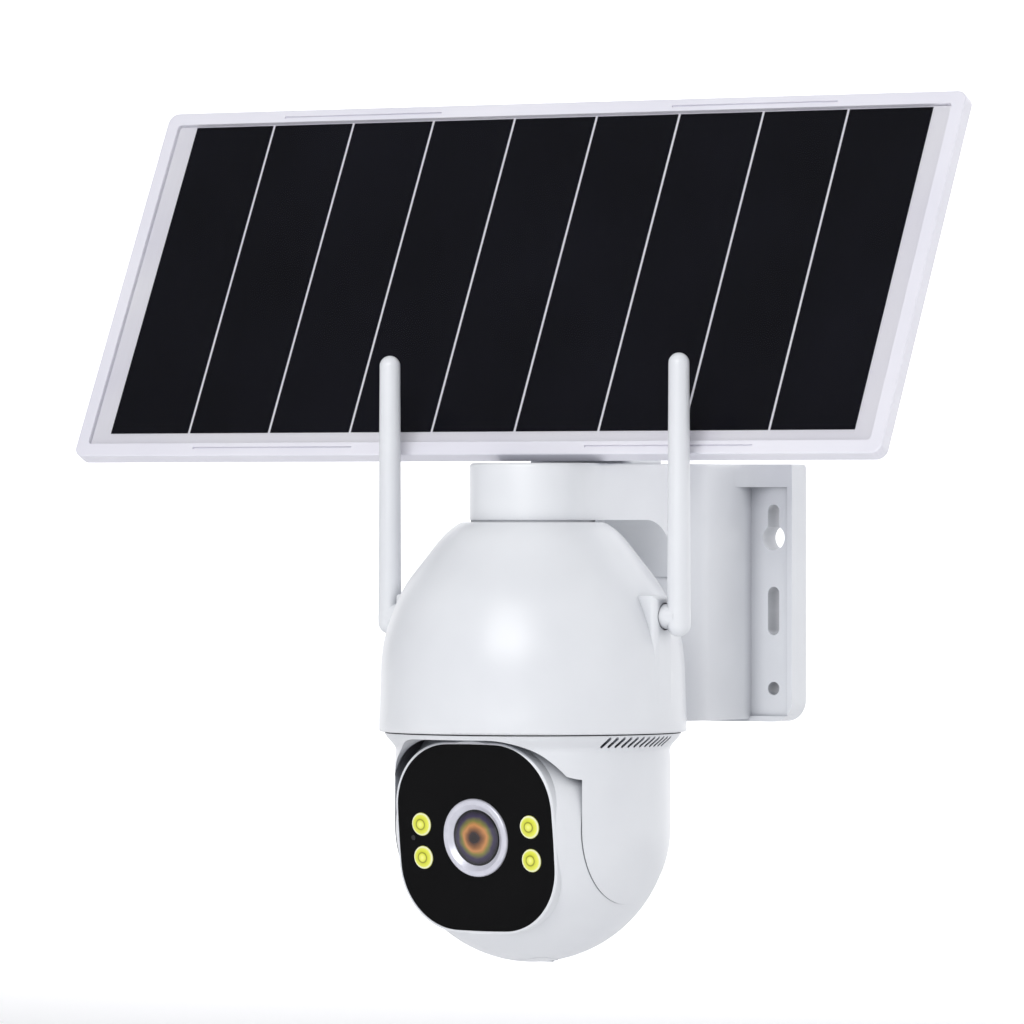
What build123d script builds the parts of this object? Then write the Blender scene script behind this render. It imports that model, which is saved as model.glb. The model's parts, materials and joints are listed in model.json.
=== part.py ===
from build123d import *
import math
import os

# Solar-powered pan and tilt security camera on a wall bracket. Millimetres, +Z up.
# The origin is the centre of the wall plate's back face. The wall is the plane Y = 0,
# the camera stands out towards -Y, and +X is to the right for someone facing the wall.

# ---- driving dimensions -------------------------------------------------------------
# wall bracket
PLATE_W, PLATE_H, PLATE_T = 92.0, 96.0, 11.0
PLATE_RIM, PLATE_RIM_DEPTH, PLATE_LOW_CORNER = 2.1, 1.2, 8.0
BOX_W, BOX_FRONT, BOX_CORNER = 56.0, 58.0, 17.0
BOX_BOTTOM = -47.0
BAND_BOTTOM, BAND_FLARE = 39.5, 12.0
ARM_TOP, ARM_BOTTOM, ARM_R = 48.0, 27.3, 23.0
ARM_TOP_ROUND = 1.4
ARCH_R = 21.0
BRACKET_WALL = 2.8
HOLE_X = 37.6
KEYHOLE_Z, KEYHOLE_R, KEYHOLE_TOP = 20.6, 4.65, 33.0
SLOT_Z, SLOT_LENGTH, SLOT_W = -6.7, 18.0, 4.8
ROUND_HOLE_Z, ROUND_HOLE_R = -35.6, 2.45
COVER_W, COVER_LOW, COVER_HIGH, COVER_T = 57.0, -45.6, 41.0, 2.2
COVER_LEDGE = 3.2
COVER_SCREW_X, COVER_SCREW_LOW, COVER_SCREW_HIGH = 21.6, -39.4, 33.4

# dome housing, turned about the pan axis
DOME_Y = -122.0
DOME_WALL = 2.6
DOME_PROFILE = [(26.0, 26.5), (30.6, 23.4), (38.9, 13.6), (46.5, 3.3), (51.3, -7.3), (54.0, -15.9),
                (55.3, -27.0), (56.0, -45.5)]
DOME_RIM_Z = -49.5
NECK_SEAL_T = 0.8
CABLE_HOLE_R = 11.0
NECK_SCREW_R = 16.5
LUG_FACE, LUG_HALF, LUG_TOP = 55.5, 6.5, 0.0
DECK_TOP, DECK_T, DECK_R = -24.0, 3.0, 51.4
DECK_SCREW_R = 48.0
BOARD_Z, BOARD_R, BOARD_T = 6.4, 38.5, 1.6
STANDOFF_R = 34.0

# pan housing and its drive
PAN_GAP = 0.5
PAN_REST = -5.0
PAN_R, PAN_FLARE_R, PAN_FLARE_END = 50.2, 54.0, -55.0
PAN_CUP_R, PAN_ROOF = 44.0, -30.0
PAN_WALL = 2.6
POCKET_HALF, CHEEK_FACE, CHEEK_BOSS_R = 41.8, 36.6, 23.2
POCKET_PROFILE = [(0.0, 51.0), (10.0, 51.0), (20.0, 49.7), (27.7, 46.8), (32.3, 43.8), (36.6, 39.6), (41.8, 33.0)]
WINDOW_FRONT, WINDOW_REAR, WINDOW_R = -51.6, -66.0, 26.0
CHEEK_WALL, OUTER_CHEEK_WALL = 3.6, 2.2
HUB_R, HUB_BORE, HUB_TOP = 14.0, 9.0, -14.6
GEAR_MODULE = 0.8
PAN_TEETH, TILT_TEETH, PINION_TEETH = 60, 48, 12
GEAR_SLACK = 0.12
PAN_GEAR_Z, GEAR_T = -22.4, 5.0
MOTOR_R, MOTOR_LENGTH, MOTOR_OFFSET = 14.0, 19.0, 8.0

# tilting camera head, in its own axes: front is -Y, the tilt axis is X
TILT_Z, HEAD_DOWN = -83.5, 6.0
HEAD_R, HEAD_SIDE, HEAD_HALF, HEAD_WALL = 49.8, 41.3, 36.0, 2.4
HUB_RECESS_R = 24.0
FACE_Y, FACE_HALF, FACE_R = -35.4, 35.4, 25.0
FACE_DROP, FACE_BULGE = 0.4, 1.5
GLASS_HALF, GLASS_R, GLASS_T = 34.3, 23.9, 1.2
LENS_RING_R, LENS_HOLE_R = 14.2, 10.25
LED_X, LED_HIGH, LED_LOW, LED_R = 24.1, 4.4, -7.7, 4.2
SENSOR_X, SENSOR_R = -28.2, 0.9
STUB_R, STUB_BORE = 9.0, 6.5
FIT = 0.05

# antennas
ANTENNA_X, ANTENNA_Z = 61.2, -7.4
ANTENNA_LOW, ANTENNA_HIGH = -14.6, 87.6
ANTENNA_R_LOW, ANTENNA_R_HIGH = 4.3, 3.8
KNUCKLE_R, ANTENNA_PIN_R = 4.5, 2.5

# solar panel, in its own axes: origin at the middle of the lower front edge, +Z out of the glass
PANEL_W, PANEL_H, PANEL_T = 346.0, 148.0, 13.0
PANEL_TILT = 63.1
PANEL_X, PANEL_Y, PANEL_Z = -34.0, DOME_Y + 8.0, 51.3
PANEL_EDGE, PANEL_BACK_INSET = 6.0, 9.0
CELLS, CELL_PITCH, CELL_GAP = 9, 35.6, 1.1
CELL_AREA_H, CELL_AREA_LOW = 131.9, 10.2
LATCH_START, LATCH_END, LATCH_INSET, LATCH_W = 50.0, 120.0, 3.2, 0.9
PANEL_PIVOT_UP, PANEL_PIVOT_BACK = 29.0, 27.0
EAR_GAP, EAR_T, EAR_R, BOLT_R = 14.0, 6.0, 7.5, 2.5

# small shared sizes
SCREW_R, PILOT_R = 1.25, 1.27
SHAFT_R = 1.5
COVER_BOSS_END = 9.6
CELL_R, BATTERY_Y, BATTERY_Z = 9.2, -30.4, -43.4
GLAND_R, GLAND_Y, GLAND_Z = 5.0, -26.0, -28.0
BUSH_R = 17.0
LUG_PAD = 45.6
MOTOR_EAR, PAN_MOTOR_Z, CLIP_Z = 19.5, -13.4, -16.9
VENTS, VENT_START, VENT_STEP, VENT_Z, VENT_LENGTH, VENT_LEAN = 12, -24.0, 3.4, -52.5, 4.6, -36.0
PIVOT_R, PIVOT_T = 21.5, 1.9
STUB_END_GEAR, STUB_END_PLAIN, TILT_GEAR_X = 26.9, 31.0, 27.2
TILT_MOTOR_X = 25.0
SPEAKER_X, SPEAKER_Z = 42.2, -72.0
SHELL_FRONT, GLASS_BACK, LED_BOARD_Y = -32.4, -34.0, -29.0
LED_SCREW, POST_IN = 21.5, 18.7
LENS_RING_Y, BARREL_FRONT, SENSOR_BOARD_Y, REFLECTOR_FRONT = -36.2, -34.6, -6.5, -35.0
DOOR_TURN, DOOR_W, DOOR_H, DOOR_INNER, DOOR_EAR = 10.0, 24.0, 15.0, 48.0, 5.0
DOOR_HINGE_Y, DOOR_HINGE_R, DOOR_PIN_R, BUTTON_R = 8.9, 48.3, 0.6, 1.4
POCKET_INSET, POCKET_DEPTH = 5.2, 2.2
JUNCTION_X, JUNCTION_HOLE = -60.0, 4.5
LEAF_W, LEAF_LOW, LEAF_HIGH, LEAF_T = 60.0, 14.0, 60.0, 3.0
BASE_HALF_W, BASE_HALF_D, BASE_T, BASE_SCREW_X, BASE_SCREW_Y = 21.5, 13.0, 4.0, 17.4, 8.5

# where the panel's pivot comes to lie
TILT_COS, TILT_SIN = math.cos(math.radians(PANEL_TILT)), math.sin(math.radians(PANEL_TILT))
PIVOT_Y = PANEL_Y + PANEL_PIVOT_UP * TILT_COS + PANEL_PIVOT_BACK * TILT_SIN
PIVOT_Z = PANEL_Z + PANEL_PIVOT_UP * TILT_SIN - PANEL_PIVOT_BACK * TILT_COS


# ---- helpers ------------------------------------------------------------------------
def box_between(low, high):
    """A box from its lowest corner to its highest corner."""
    size = [b - a for a, b in zip(low, high)]
    middle = [(a + b) / 2 for a, b in zip(low, high)]
    return Pos(*middle) * Box(*size)


def rod(x, y, z_low, z_high, radius):
    """An upright cylinder between two heights."""
    return Pos(x, y, (z_low + z_high) / 2) * Cylinder(radius, z_high - z_low)


def rod_x(x_low, x_high, y, z, radius):
    """A cylinder that lies along X."""
    return Pos((x_low + x_high) / 2, y, z) * Rot(Y=90) * Cylinder(radius, x_high - x_low)


def rod_y(x, y_low, y_high, z, radius):
    """A cylinder that lies along Y."""
    return Pos(x, (y_low + y_high) / 2, z) * Rot(X=90) * Cylinder(radius, y_high - y_low)


def slab_y(outline, y_low, y_high):
    """An outline drawn in X and Z, given thickness along Y."""
    return extrude(Plane.XZ.offset(-y_high) * outline, y_high - y_low)


def soft_square(half_w, half_h, radius):
    """A square outline with round corners and slightly bowed sides."""
    x, y = half_w - FACE_BULGE, half_h - FACE_BULGE
    sides = [ThreePointArc((x, -y), (half_w, 0), (x, y)), ThreePointArc((x, y), (0, half_h), (-x, y)),
             ThreePointArc((-x, y), (-half_w, 0), (-x, -y)), ThreePointArc((-x, -y), (0, -half_h), (x, -y))]
    outline = make_face(sides)
    return fillet(outline.vertices(), radius)


def gear(teeth, bore, thickness):
    """A spur gear with straight-flanked teeth, its axis on Z and its lower face at Z = 0."""
    pitch = GEAR_MODULE * teeth / 2
    root, tip = pitch - GEAR_MODULE, pitch + 0.85 * GEAR_MODULE
    low, high = 0.80 * GEAR_MODULE / root, 0.36 * GEAR_MODULE / tip
    points = []
    for index in range(teeth):
        middle = 2 * math.pi * index / teeth
        for radius, turn in ((root, -low), (tip, -high), (tip, high), (root, low)):
            angle = middle + turn
            points.append((radius * math.cos(angle), radius * math.sin(angle)))
    return extrude(Polygon(*points, align=None) - Circle(bore), thickness)


def flat_screw(length, radius, head_r, head_t):
    """A countersunk screw that points down -Z, with its head's face at Z = 0 and a cross recess."""
    head = Pos(0, 0, -head_t / 2) * Cone(radius, head_r, head_t)
    shank = rod(0, 0, -length, -head_t, radius)
    cross = Box(head_r, 0.6, 1.6) + Box(0.6, head_r, 1.6)
    return head + shank - cross


def pan_screw(length, radius, head_r, head_t):
    """A raised-head screw that points down -Z, with the underside of its head at Z = 0."""
    head = fillet(rod(0, 0, 0, head_t, head_r).edges().sort_by(Axis.Z)[-1], head_t * 0.45)
    cross = Pos(0, 0, head_t) * (Box(head_r, 0.6, 1.6) + Box(0.6, head_r, 1.6))
    return head + rod(0, 0, -length, 0, radius) - cross


def save(name, shape):
    """Write one named piece to its own STEP file."""
    os.makedirs("parts", exist_ok=True)
    export_step(shape, f"parts/{name}.step")


# ---- wall bracket -------------------------------------------------------------------
def bracket_plate():
    """The wall plate, with its rim round a shallow recess on each flange."""
    outline = Rectangle(PLATE_W, PLATE_H)
    outline = fillet(outline.vertices().group_by(Axis.Y)[0], PLATE_LOW_CORNER)
    plate = slab_y(outline, -PLATE_T, 0)
    width = PLATE_W / 2 - PLATE_RIM - BOX_W / 2
    for side in (-1, 1):
        x_mid = side * (BOX_W / 2 + width / 2)
        recess = Pos(x_mid, 0) * Rectangle(width, PLATE_H - 2 * PLATE_RIM)
        plate -= slab_y(recess, -PLATE_T - 1, -PLATE_T + PLATE_RIM_DEPTH)
    return plate


def bracket_band():
    """The top band, which flares from the box out to the full width of the plate."""
    half, flare = BOX_W / 2, BAND_FLARE
    band = box_between((-half, -BOX_FRONT + BOX_CORNER, BAND_BOTTOM), (half, 0, ARM_TOP))
    for side in (-1, 1):
        corner = box_between((min(side * half, side * (half + flare)), -PLATE_T - flare, BAND_BOTTOM),
                             (max(side * half, side * (half + flare)), -PLATE_T, ARM_TOP))
        band += corner - rod(side * (half + flare), -PLATE_T - flare, 0, 60, flare)
        band += box_between((min(side * half, side * PLATE_W / 2), -PLATE_T, BAND_BOTTOM),
                            (max(side * half, side * PLATE_W / 2), 0, ARM_TOP))
    return band


def bracket_outside():
    """The plate, the battery box, the arm with its round end and the arch under it, as one solid."""
    box = box_between((-BOX_W / 2, -BOX_FRONT, BOX_BOTTOM), (BOX_W / 2, 0, ARM_TOP))
    front = box.edges().filter_by(Axis.Z).sort_by(Axis.Y)[:2]
    box = fillet(front, BOX_CORNER)
    arm = box_between((-ARM_R, DOME_Y, ARM_BOTTOM), (ARM_R, -BOX_FRONT + BOX_CORNER, ARM_TOP))
    arm += rod(0, DOME_Y, ARM_BOTTOM, ARM_TOP, ARM_R)
    arch_y, arch_z = -BOX_FRONT - ARCH_R, ARM_BOTTOM - ARCH_R
    arch = box_between((-ARM_R, arch_y, arch_z), (ARM_R, -BOX_FRONT + BOX_CORNER, ARM_BOTTOM))
    arch -= rod_x(-ARM_R - 1, ARM_R + 1, arch_y, arch_z, ARCH_R)
    body = box + arm + arch + bracket_plate() + bracket_band()
    rim = [edge for edge in body.edges().group_by(Axis.Z)[-1] if edge.center().Y < -1]
    return fillet(rim, ARM_TOP_ROUND)


def bracket_cavities():
    """The battery box's inside, the arm's inside and the cable hole down through the neck."""
    inner = BOX_W / 2 - BRACKET_WALL
    cavity = box_between((-inner, -BOX_FRONT + BRACKET_WALL, BOX_BOTTOM + BRACKET_WALL),
                         (inner, 1, ARM_BOTTOM + 10.0))
    cavity = fillet(cavity.edges().filter_by(Axis.Z).sort_by(Axis.Y)[:2], BOX_CORNER - BRACKET_WALL)
    arm_in = ARM_R - BRACKET_WALL
    tunnel = box_between((-arm_in, DOME_Y, ARM_BOTTOM + 4.0), (arm_in, -BOX_FRONT + 12.0, ARM_TOP - BRACKET_WALL))
    tunnel += rod(0, DOME_Y, ARM_BOTTOM + 4.0, ARM_TOP - BRACKET_WALL, arm_in)
    return cavity + tunnel + rod(0, DOME_Y, ARM_BOTTOM - 1, ARM_BOTTOM + 5, CABLE_HOLE_R)


def neck_screw_places():
    """Three screw places round the neck."""
    for index in range(3):
        angle = math.radians(90 + 120 * index)
        yield NECK_SCREW_R * math.cos(angle), DOME_Y + NECK_SCREW_R * math.sin(angle)


def mount_base_places():
    """Four screw places of the panel's pivot base on top of the arm."""
    for x in (-BASE_SCREW_X, BASE_SCREW_X):
        for y in (-BASE_SCREW_Y, BASE_SCREW_Y):
            yield x, PIVOT_Y + y


def cover_screw_places():
    """Four screw places of the bracket's back cover."""
    for x in (-COVER_SCREW_X, COVER_SCREW_X):
        for z in (COVER_SCREW_LOW, COVER_SCREW_HIGH):
            yield x, z


def flange_holes(side):
    """One flange's keyhole, upright slot and round hole."""
    depth = (-PLATE_T - 1, 1)
    x = side * HOLE_X
    slot_r = SLOT_W / 2
    holes = rod_y(x, *depth, KEYHOLE_Z, KEYHOLE_R)
    holes += rod_y(x, *depth, KEYHOLE_TOP - slot_r, slot_r)
    holes += box_between((x - slot_r, depth[0], KEYHOLE_Z), (x + slot_r, depth[1], KEYHOLE_TOP - slot_r))
    slot_end = SLOT_LENGTH / 2 - slot_r
    holes += box_between((x - slot_r, depth[0], SLOT_Z - slot_end), (x + slot_r, depth[1], SLOT_Z + slot_end))
    for end in (-slot_end, slot_end):
        holes += rod_y(x, *depth, SLOT_Z + end, slot_r)
    return holes + rod_y(x, *depth, ROUND_HOLE_Z, ROUND_HOLE_R)


def wall_bracket():
    """The moulded bracket: hollow, open at the back, with screw bosses and the flange holes."""
    body = bracket_outside() - bracket_cavities()
    for x, y in neck_screw_places():
        body += rod(x, y, ARM_BOTTOM, ARM_BOTTOM + 12, 3.4)
    for x, y in mount_base_places():
        body += rod(x, y, ARM_TOP - 12, ARM_TOP - 1, 3.6)
    body -= box_between((-COVER_W / 2, -COVER_T, COVER_LOW), (COVER_W / 2, 1, COVER_HIGH))
    body -= box_between((-COVER_W / 2 + COVER_LEDGE, -8.0, COVER_LOW + COVER_LEDGE),
                        (COVER_W / 2 - COVER_LEDGE, 1, COVER_HIGH - COVER_LEDGE))
    for x, z in cover_screw_places():
        body += rod_y(x, -COVER_BOSS_END, -COVER_T, z, 4.0)
    for x, z in cover_screw_places():
        body -= rod_y(x, -COVER_BOSS_END + 1, 1, z, PILOT_R)
    for x, y in neck_screw_places():
        body -= rod(x, y, ARM_BOTTOM - 1, ARM_BOTTOM + 10, PILOT_R)
    for x, y in mount_base_places():
        body -= rod(x, y, ARM_TOP - 10, ARM_TOP + 1, PILOT_R)
    for side in (-1, 1):
        body -= flange_holes(side)
    return body - rod_x(-BOX_W / 2 - 1, -BOX_W / 2 + 8, GLAND_Y, GLAND_Z, GLAND_R)


def bracket_back_cover():
    """The flat cover that closes the battery box, flush with the wall face."""
    gap = 0.15
    cover = box_between((-COVER_W / 2 + gap, -COVER_T, COVER_LOW + gap), (COVER_W / 2 - gap, 0, COVER_HIGH - gap))
    for x, z in cover_screw_places():
        cover -= Pos(x, 0, z) * Rot(X=-90) * (rod(0, 0, -5, 1, SCREW_R + 0.1) + Pos(0, 0, -0.8) * Cone(1.6, 3.0, 1.6))
    return cover


def bracket_cover_screws():
    """Four countersunk screws in the back cover."""
    screw = flat_screw(8.0, SCREW_R, 2.6, 1.4)
    return [Pos(x, 0, z) * Rot(X=-90) * screw for x, z in cover_screw_places()]


def battery_cells():
    """Four upright cylindrical cells, each with a raised button on top."""
    cell = fillet(rod(0, 0, 0, 65, CELL_R).edges(), 0.8) + rod(0, 0, 64.9, 66.4, 3.0)
    places = [(x, y) for x in (-9.8, 9.8) for y in (BATTERY_Y - 9.8, BATTERY_Y + 9.8)]
    return [Pos(x, y, BATTERY_Z + 3.0) * cell for x, y in places]


def battery_holder():
    """The tray that the cells stand in."""
    tray = box_between((-20.4, BATTERY_Y - 20.2, BATTERY_Z), (20.4, BATTERY_Y + 20.2, BATTERY_Z + 14))
    for x in (-9.8, 9.8):
        for y in (-9.8, 9.8):
            tray -= rod(x, BATTERY_Y + y, BATTERY_Z + 3, BATTERY_Z + 15, CELL_R + 0.1)
    return tray


def charge_board():
    """The battery's charge and protection board, above the cells."""
    low = BATTERY_Z + 71.0
    board = box_between((-18, BATTERY_Y - 15, low), (18, BATTERY_Y + 15, low + 1.4))
    board += box_between((-12, BATTERY_Y - 10, low + 1.4), (-4, BATTERY_Y - 2, low + 3.4))
    board += box_between((4, BATTERY_Y + 2, low + 1.4), (12, BATTERY_Y + 9, low + 3.0))
    return board


def cable_gland():
    """The lead inlet in the box's left side: a flange, a ribbed nut and a through bore."""
    wall = -BOX_W / 2
    gland = rod_x(wall, wall + 6, GLAND_Y, GLAND_Z, GLAND_R - 0.02)
    gland += Pos(wall - 1.5, GLAND_Y, GLAND_Z) * Rot(Y=90) * extrude(RegularPolygon(8.0, 6), 3, both=True)
    gland += rod_x(wall - 9, wall - 3, GLAND_Y, GLAND_Z, 5.6)
    gland = gland - box_between((wall, -99, -99), (wall + 2, 0, 0)) + rod_x(wall, wall + 6, GLAND_Y, GLAND_Z, GLAND_R - 0.02)
    return gland - rod_x(wall - 12, wall + 9, GLAND_Y, GLAND_Z, 2.6)


# ---- fixed dome ---------------------------------------------------------------------
def turned(*lines):
    """A closed outline in radius and height, turned about the pan axis."""
    return Pos(0, DOME_Y, 0) * revolve(Plane.XZ * make_face(list(lines)), Axis.Z)


def turned_points(*points):
    """The same for an outline of straight runs."""
    return turned(*Polyline(*points, close=True).edges())


def ring(z_low, z_high, inner, outer):
    """A flat ring about the pan axis."""
    return rod(0, DOME_Y, z_low, z_high, outer) - rod(0, DOME_Y, z_low - 1, z_high + 1, inner)


def inset_profile(points, distance):
    """The same run of points, moved square to itself towards the inside."""
    moved = []
    for index, (radius, height) in enumerate(points):
        before = points[max(index - 1, 0)]
        after = points[min(index + 1, len(points) - 1)]
        run, drop = after[0] - before[0], after[1] - before[1]
        length = math.hypot(run, drop)
        moved.append((radius + distance * drop / length, height - distance * run / length))
    return moved


def dome_solid(points, rim_z):
    """The dome's profile turned into a solid down to a given height."""
    top = Line((0, points[0][1]), points[0])
    side = Spline(*points)
    base = Polyline(points[-1], (points[-1][0], rim_z), (0, rim_z), (0, points[0][1]))
    return turned(top, side, *base.edges())


def deck_screw_places():
    """Four screw places round the deck's edge."""
    for index in range(4):
        angle = math.radians(45 + 90 * index)
        yield DECK_SCREW_R * math.cos(angle), DOME_Y + DECK_SCREW_R * math.sin(angle), 45 + 90 * index


def antenna_lug(side):
    """The raised pad that an antenna turns on."""
    low, high = sorted((side * (LUG_FACE - 12), side * LUG_FACE))
    lug = box_between((low, DOME_Y - LUG_HALF, DOME_RIM_Z + 5), (high, DOME_Y + LUG_HALF, LUG_TOP))
    outer = lug.faces().sort_by(Axis.X)[-1 if side > 0 else 0]
    edges = outer.edges().sort_by(Axis.Z)[1:]
    return fillet(edges, 2.6)


def dome_housing():
    """The upper housing: the turned shell, the antenna lugs and the deck's screw bosses."""
    outside = dome_solid(DOME_PROFILE, DOME_RIM_Z)
    rim_edge = outside.edges().group_by(Axis.Z)[0]
    outside = fillet(rim_edge, 0.8)
    for side in (-1, 1):
        outside += antenna_lug(side)
    inside = dome_solid(inset_profile(DOME_PROFILE, DOME_WALL), DOME_RIM_Z - 1)
    shell = outside - inside
    for x, y, turn in deck_screw_places():
        boss = rod(x, y, DECK_TOP, DECK_TOP + 14, 3.8)
        web = Pos(0, DOME_Y, DECK_TOP + 7) * Rot(Z=turn) * Pos(DECK_SCREW_R + 2.5, 0, 0) * Box(5, 4, 14)
        shell += (boss + web) & outside
        shell -= rod(x, y, DECK_TOP - 1, DECK_TOP + 12, PILOT_R)
    for side in (-1, 1):
        low, high = sorted((side * LUG_PAD, side * (LUG_FACE - 5)))
        shell += rod_x(low, high, DOME_Y, ANTENNA_Z, 5.6)
        low, high = sorted((side * 40, side * 60))
        shell -= rod_x(low, high, DOME_Y, ANTENNA_Z, ANTENNA_PIN_R + FIT)
        low, high = sorted((side * (LUG_FACE - 1.5), side * 60))
        shell -= rod_x(low, high, DOME_Y, ANTENNA_Z, KNUCKLE_R + 0.5)
    shell -= rod(0, DOME_Y, 15, 30, CABLE_HOLE_R)
    for x, y in neck_screw_places():
        shell -= rod(x, y, 15, 30, SCREW_R + 0.15)
    return shell


def neck_seal():
    """The flat rubber ring between the arm and the dome."""
    top = DOME_PROFILE[0][1] + NECK_SEAL_T
    seal = ring(DOME_PROFILE[0][1], top, CABLE_HOLE_R, ARM_R - 0.4)
    for x, y in neck_screw_places():
        seal -= rod(x, y, 20, 30, SCREW_R + 0.15)
    return seal


def neck_screws():
    """Three screws that hold the dome up to the arm."""
    screw = Rot(X=180) * pan_screw(11.5, SCREW_R, 2.8, 2.0)
    under = inset_profile(DOME_PROFILE, DOME_WALL)[0][1]
    return [Pos(x, y, under) * screw for x, y in neck_screw_places()]


def motor(length, ears):
    """A round geared stepper with its shaft off centre: shaft at the origin, pointing down -Z."""
    body = fillet(rod(0, -MOTOR_OFFSET, 0, length, MOTOR_R).edges(), 0.8)
    body += rod(0, 0, -1.0, 0.9, 4.4) + rod(0, 0, -ears, 0.5, SHAFT_R)
    ear = box_between((-MOTOR_EAR, -MOTOR_OFFSET - 3.4, 0), (MOTOR_EAR, -MOTOR_OFFSET + 3.4, 1.0))
    ear += rod(-MOTOR_EAR, -MOTOR_OFFSET, 0, 1.0, 3.4) + rod(MOTOR_EAR, -MOTOR_OFFSET, 0, 1.0, 3.4)
    for side in (-1, 1):
        ear -= rod(side * MOTOR_EAR, -MOTOR_OFFSET, -1, 2, SCREW_R + 0.15)
    return body + ear + box_between((-7.5, -MOTOR_OFFSET - 17, 2), (7.5, -MOTOR_OFFSET - 8, length - 2))


def pan_distance():
    """Between the pan gear's axis and its pinion's."""
    return GEAR_MODULE * (PAN_TEETH + PINION_TEETH) / 2 + GEAR_SLACK


def tilt_distance():
    """Between the tilt gear's axis and its pinion's."""
    return GEAR_MODULE * (TILT_TEETH + PINION_TEETH) / 2 + GEAR_SLACK


def dome_deck():
    """The plate that closes the dome inside, with the bearing bore, motor posts and board posts."""
    deck = ring(DECK_TOP - DECK_T, DECK_TOP, BUSH_R, DECK_R)
    motor_y = DOME_Y + pan_distance() - MOTOR_OFFSET
    for side in (-1, 1):
        deck += rod(side * MOTOR_EAR, motor_y, DECK_TOP, PAN_MOTOR_Z, 3.0)
        deck -= rod(side * MOTOR_EAR, motor_y, DECK_TOP + 2, PAN_MOTOR_Z + 1, PILOT_R)
    for x, y in board_places():
        deck += rod(x, y, DECK_TOP, BOARD_Z, 2.8)
        deck -= rod(x, y, BOARD_Z - 8, BOARD_Z + 1, PILOT_R)
    for x, y, _ in deck_screw_places():
        deck -= rod(x, y, DECK_TOP - 5, DECK_TOP + 1, SCREW_R + 0.15)
    return deck


def board_places():
    """Three screw places of the main board."""
    for turn in (200, 270, 340):
        angle = math.radians(turn)
        yield STANDOFF_R * math.cos(angle), DOME_Y + STANDOFF_R * math.sin(angle)


def main_board():
    """The main circuit board with its connectors and storage coil."""
    board = ring(BOARD_Z, BOARD_Z + BOARD_T, 8.0, BOARD_R)
    for x, y in board_places():
        board -= rod(x, y, BOARD_Z - 1, BOARD_Z + 3, SCREW_R + 0.15)
    top = BOARD_Z + BOARD_T
    for x, y, wide, deep, high in ((-16, 14, 12, 6, 5), (16, 14, 12, 6, 5), (-17, -12, 10, 10, 2), (22, -4, 6, 12, 4)):
        board += Pos(x, DOME_Y + y, top + high / 2) * Box(wide, deep, high)
    return board + box_between((-9, DOME_Y - 32, top), (9, DOME_Y - 19, top + 2.4))


def screws_down(places, z, length):
    """Raised-head screws that point down, one at each place."""
    return [Pos(x, y, z) * pan_screw(length, SCREW_R, 2.5, 1.8) for x, y in places]


def deck_screws():
    """Four screws that hold the deck up inside the dome."""
    screw = Rot(X=180) * pan_screw(13.0, SCREW_R, 2.4, 1.2)
    return [Pos(x, y, DECK_TOP - DECK_T) * screw for x, y, _ in deck_screw_places()]


def pan_bush():
    """The plastic bearing in the deck, with a flange that carries the pan gear."""
    bush = ring(DECK_TOP - DECK_T, DECK_TOP, HUB_R + FIT, BUSH_R)
    return bush + ring(DECK_TOP, DECK_TOP + 1.2, HUB_R + FIT, BUSH_R + 3)


def pan_motor():
    """The stepper that turns the lower housing."""
    y = DOME_Y + pan_distance()
    return Pos(0, y, PAN_MOTOR_Z) * motor(MOTOR_LENGTH, PAN_MOTOR_Z - PAN_GEAR_Z + 1.0)


def pan_motor_screws():
    """Two screws through the pan motor's ears."""
    y = DOME_Y + pan_distance() - MOTOR_OFFSET
    return screws_down(((-MOTOR_EAR, y), (MOTOR_EAR, y)), PAN_MOTOR_Z + 1.0, 7.0)


def pan_pinion():
    """The small gear on the pan motor's shaft."""
    half_tooth = 180 / PINION_TEETH
    wheel = Rot(Z=-90 + half_tooth) * gear(PINION_TEETH, SHAFT_R + FIT, GEAR_T + 1)
    return Pos(0, DOME_Y + pan_distance(), PAN_GEAR_Z - 0.5) * wheel


# ---- panning lower housing ----------------------------------------------------------
def pan_outside(shrink):
    """The lower housing's outer form: flare, cylinder and round bottom."""
    radius = PAN_R - shrink
    top = DOME_RIM_Z - PAN_GAP - shrink
    flare = PAN_FLARE_R - shrink
    lines = [Line((0, top), (flare, top)), Spline((flare, top), (radius, PAN_FLARE_END), (radius, PAN_FLARE_END - 6),
                                                 tangents=((-0.45, -1), (0, -1)))]
    lines += [Line((radius, PAN_FLARE_END - 6), (radius, TILT_Z))]
    lines += [RadiusArc((radius, TILT_Z), (0, TILT_Z - radius), radius), Line((0, TILT_Z - radius), (0, top))]
    return turned(*lines)


def head_pocket():
    """The space that the camera head sweeps, turned about the tilt axis."""
    left = [(-x, r) for x, r in reversed(POCKET_PROFILE)]
    side = Spline(*(left + POCKET_PROFILE[1:]))
    ends = Polyline(POCKET_PROFILE[-1], (POCKET_HALF, 0), (-POCKET_HALF, 0), left[0])
    face = Plane.XZ * make_face([side, *ends.edges()])
    return Pos(0, DOME_Y, TILT_Z) * revolve(face, Axis.X)


def window(top, y_low, y_high):
    """An opening with round upper corners, cut through the housing along Y."""
    height = top - (TILT_Z - 30)
    outline = Rectangle(2 * POCKET_HALF, height)
    outline = fillet(outline.vertices().group_by(Axis.Y)[-1], WINDOW_R)
    return slab_y(Pos(0, top - height / 2) * outline, y_low, y_high)


def vent_slots():
    """A row of slanted slots through the side wall, in front of the loudspeaker."""
    slots = None
    for index in range(VENTS):
        turn = VENT_START + index * VENT_STEP
        slot = Rot(Y=90) * SlotOverall(VENT_LENGTH, 1.3)
        cut = Rot(Z=turn) * Pos(PAN_R, 0, VENT_Z) * Rot(X=VENT_LEAN) * extrude(slot, 9, both=True)
        slots = cut if slots is None else slots + cut
    return Pos(0, DOME_Y, 0) * slots


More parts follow.
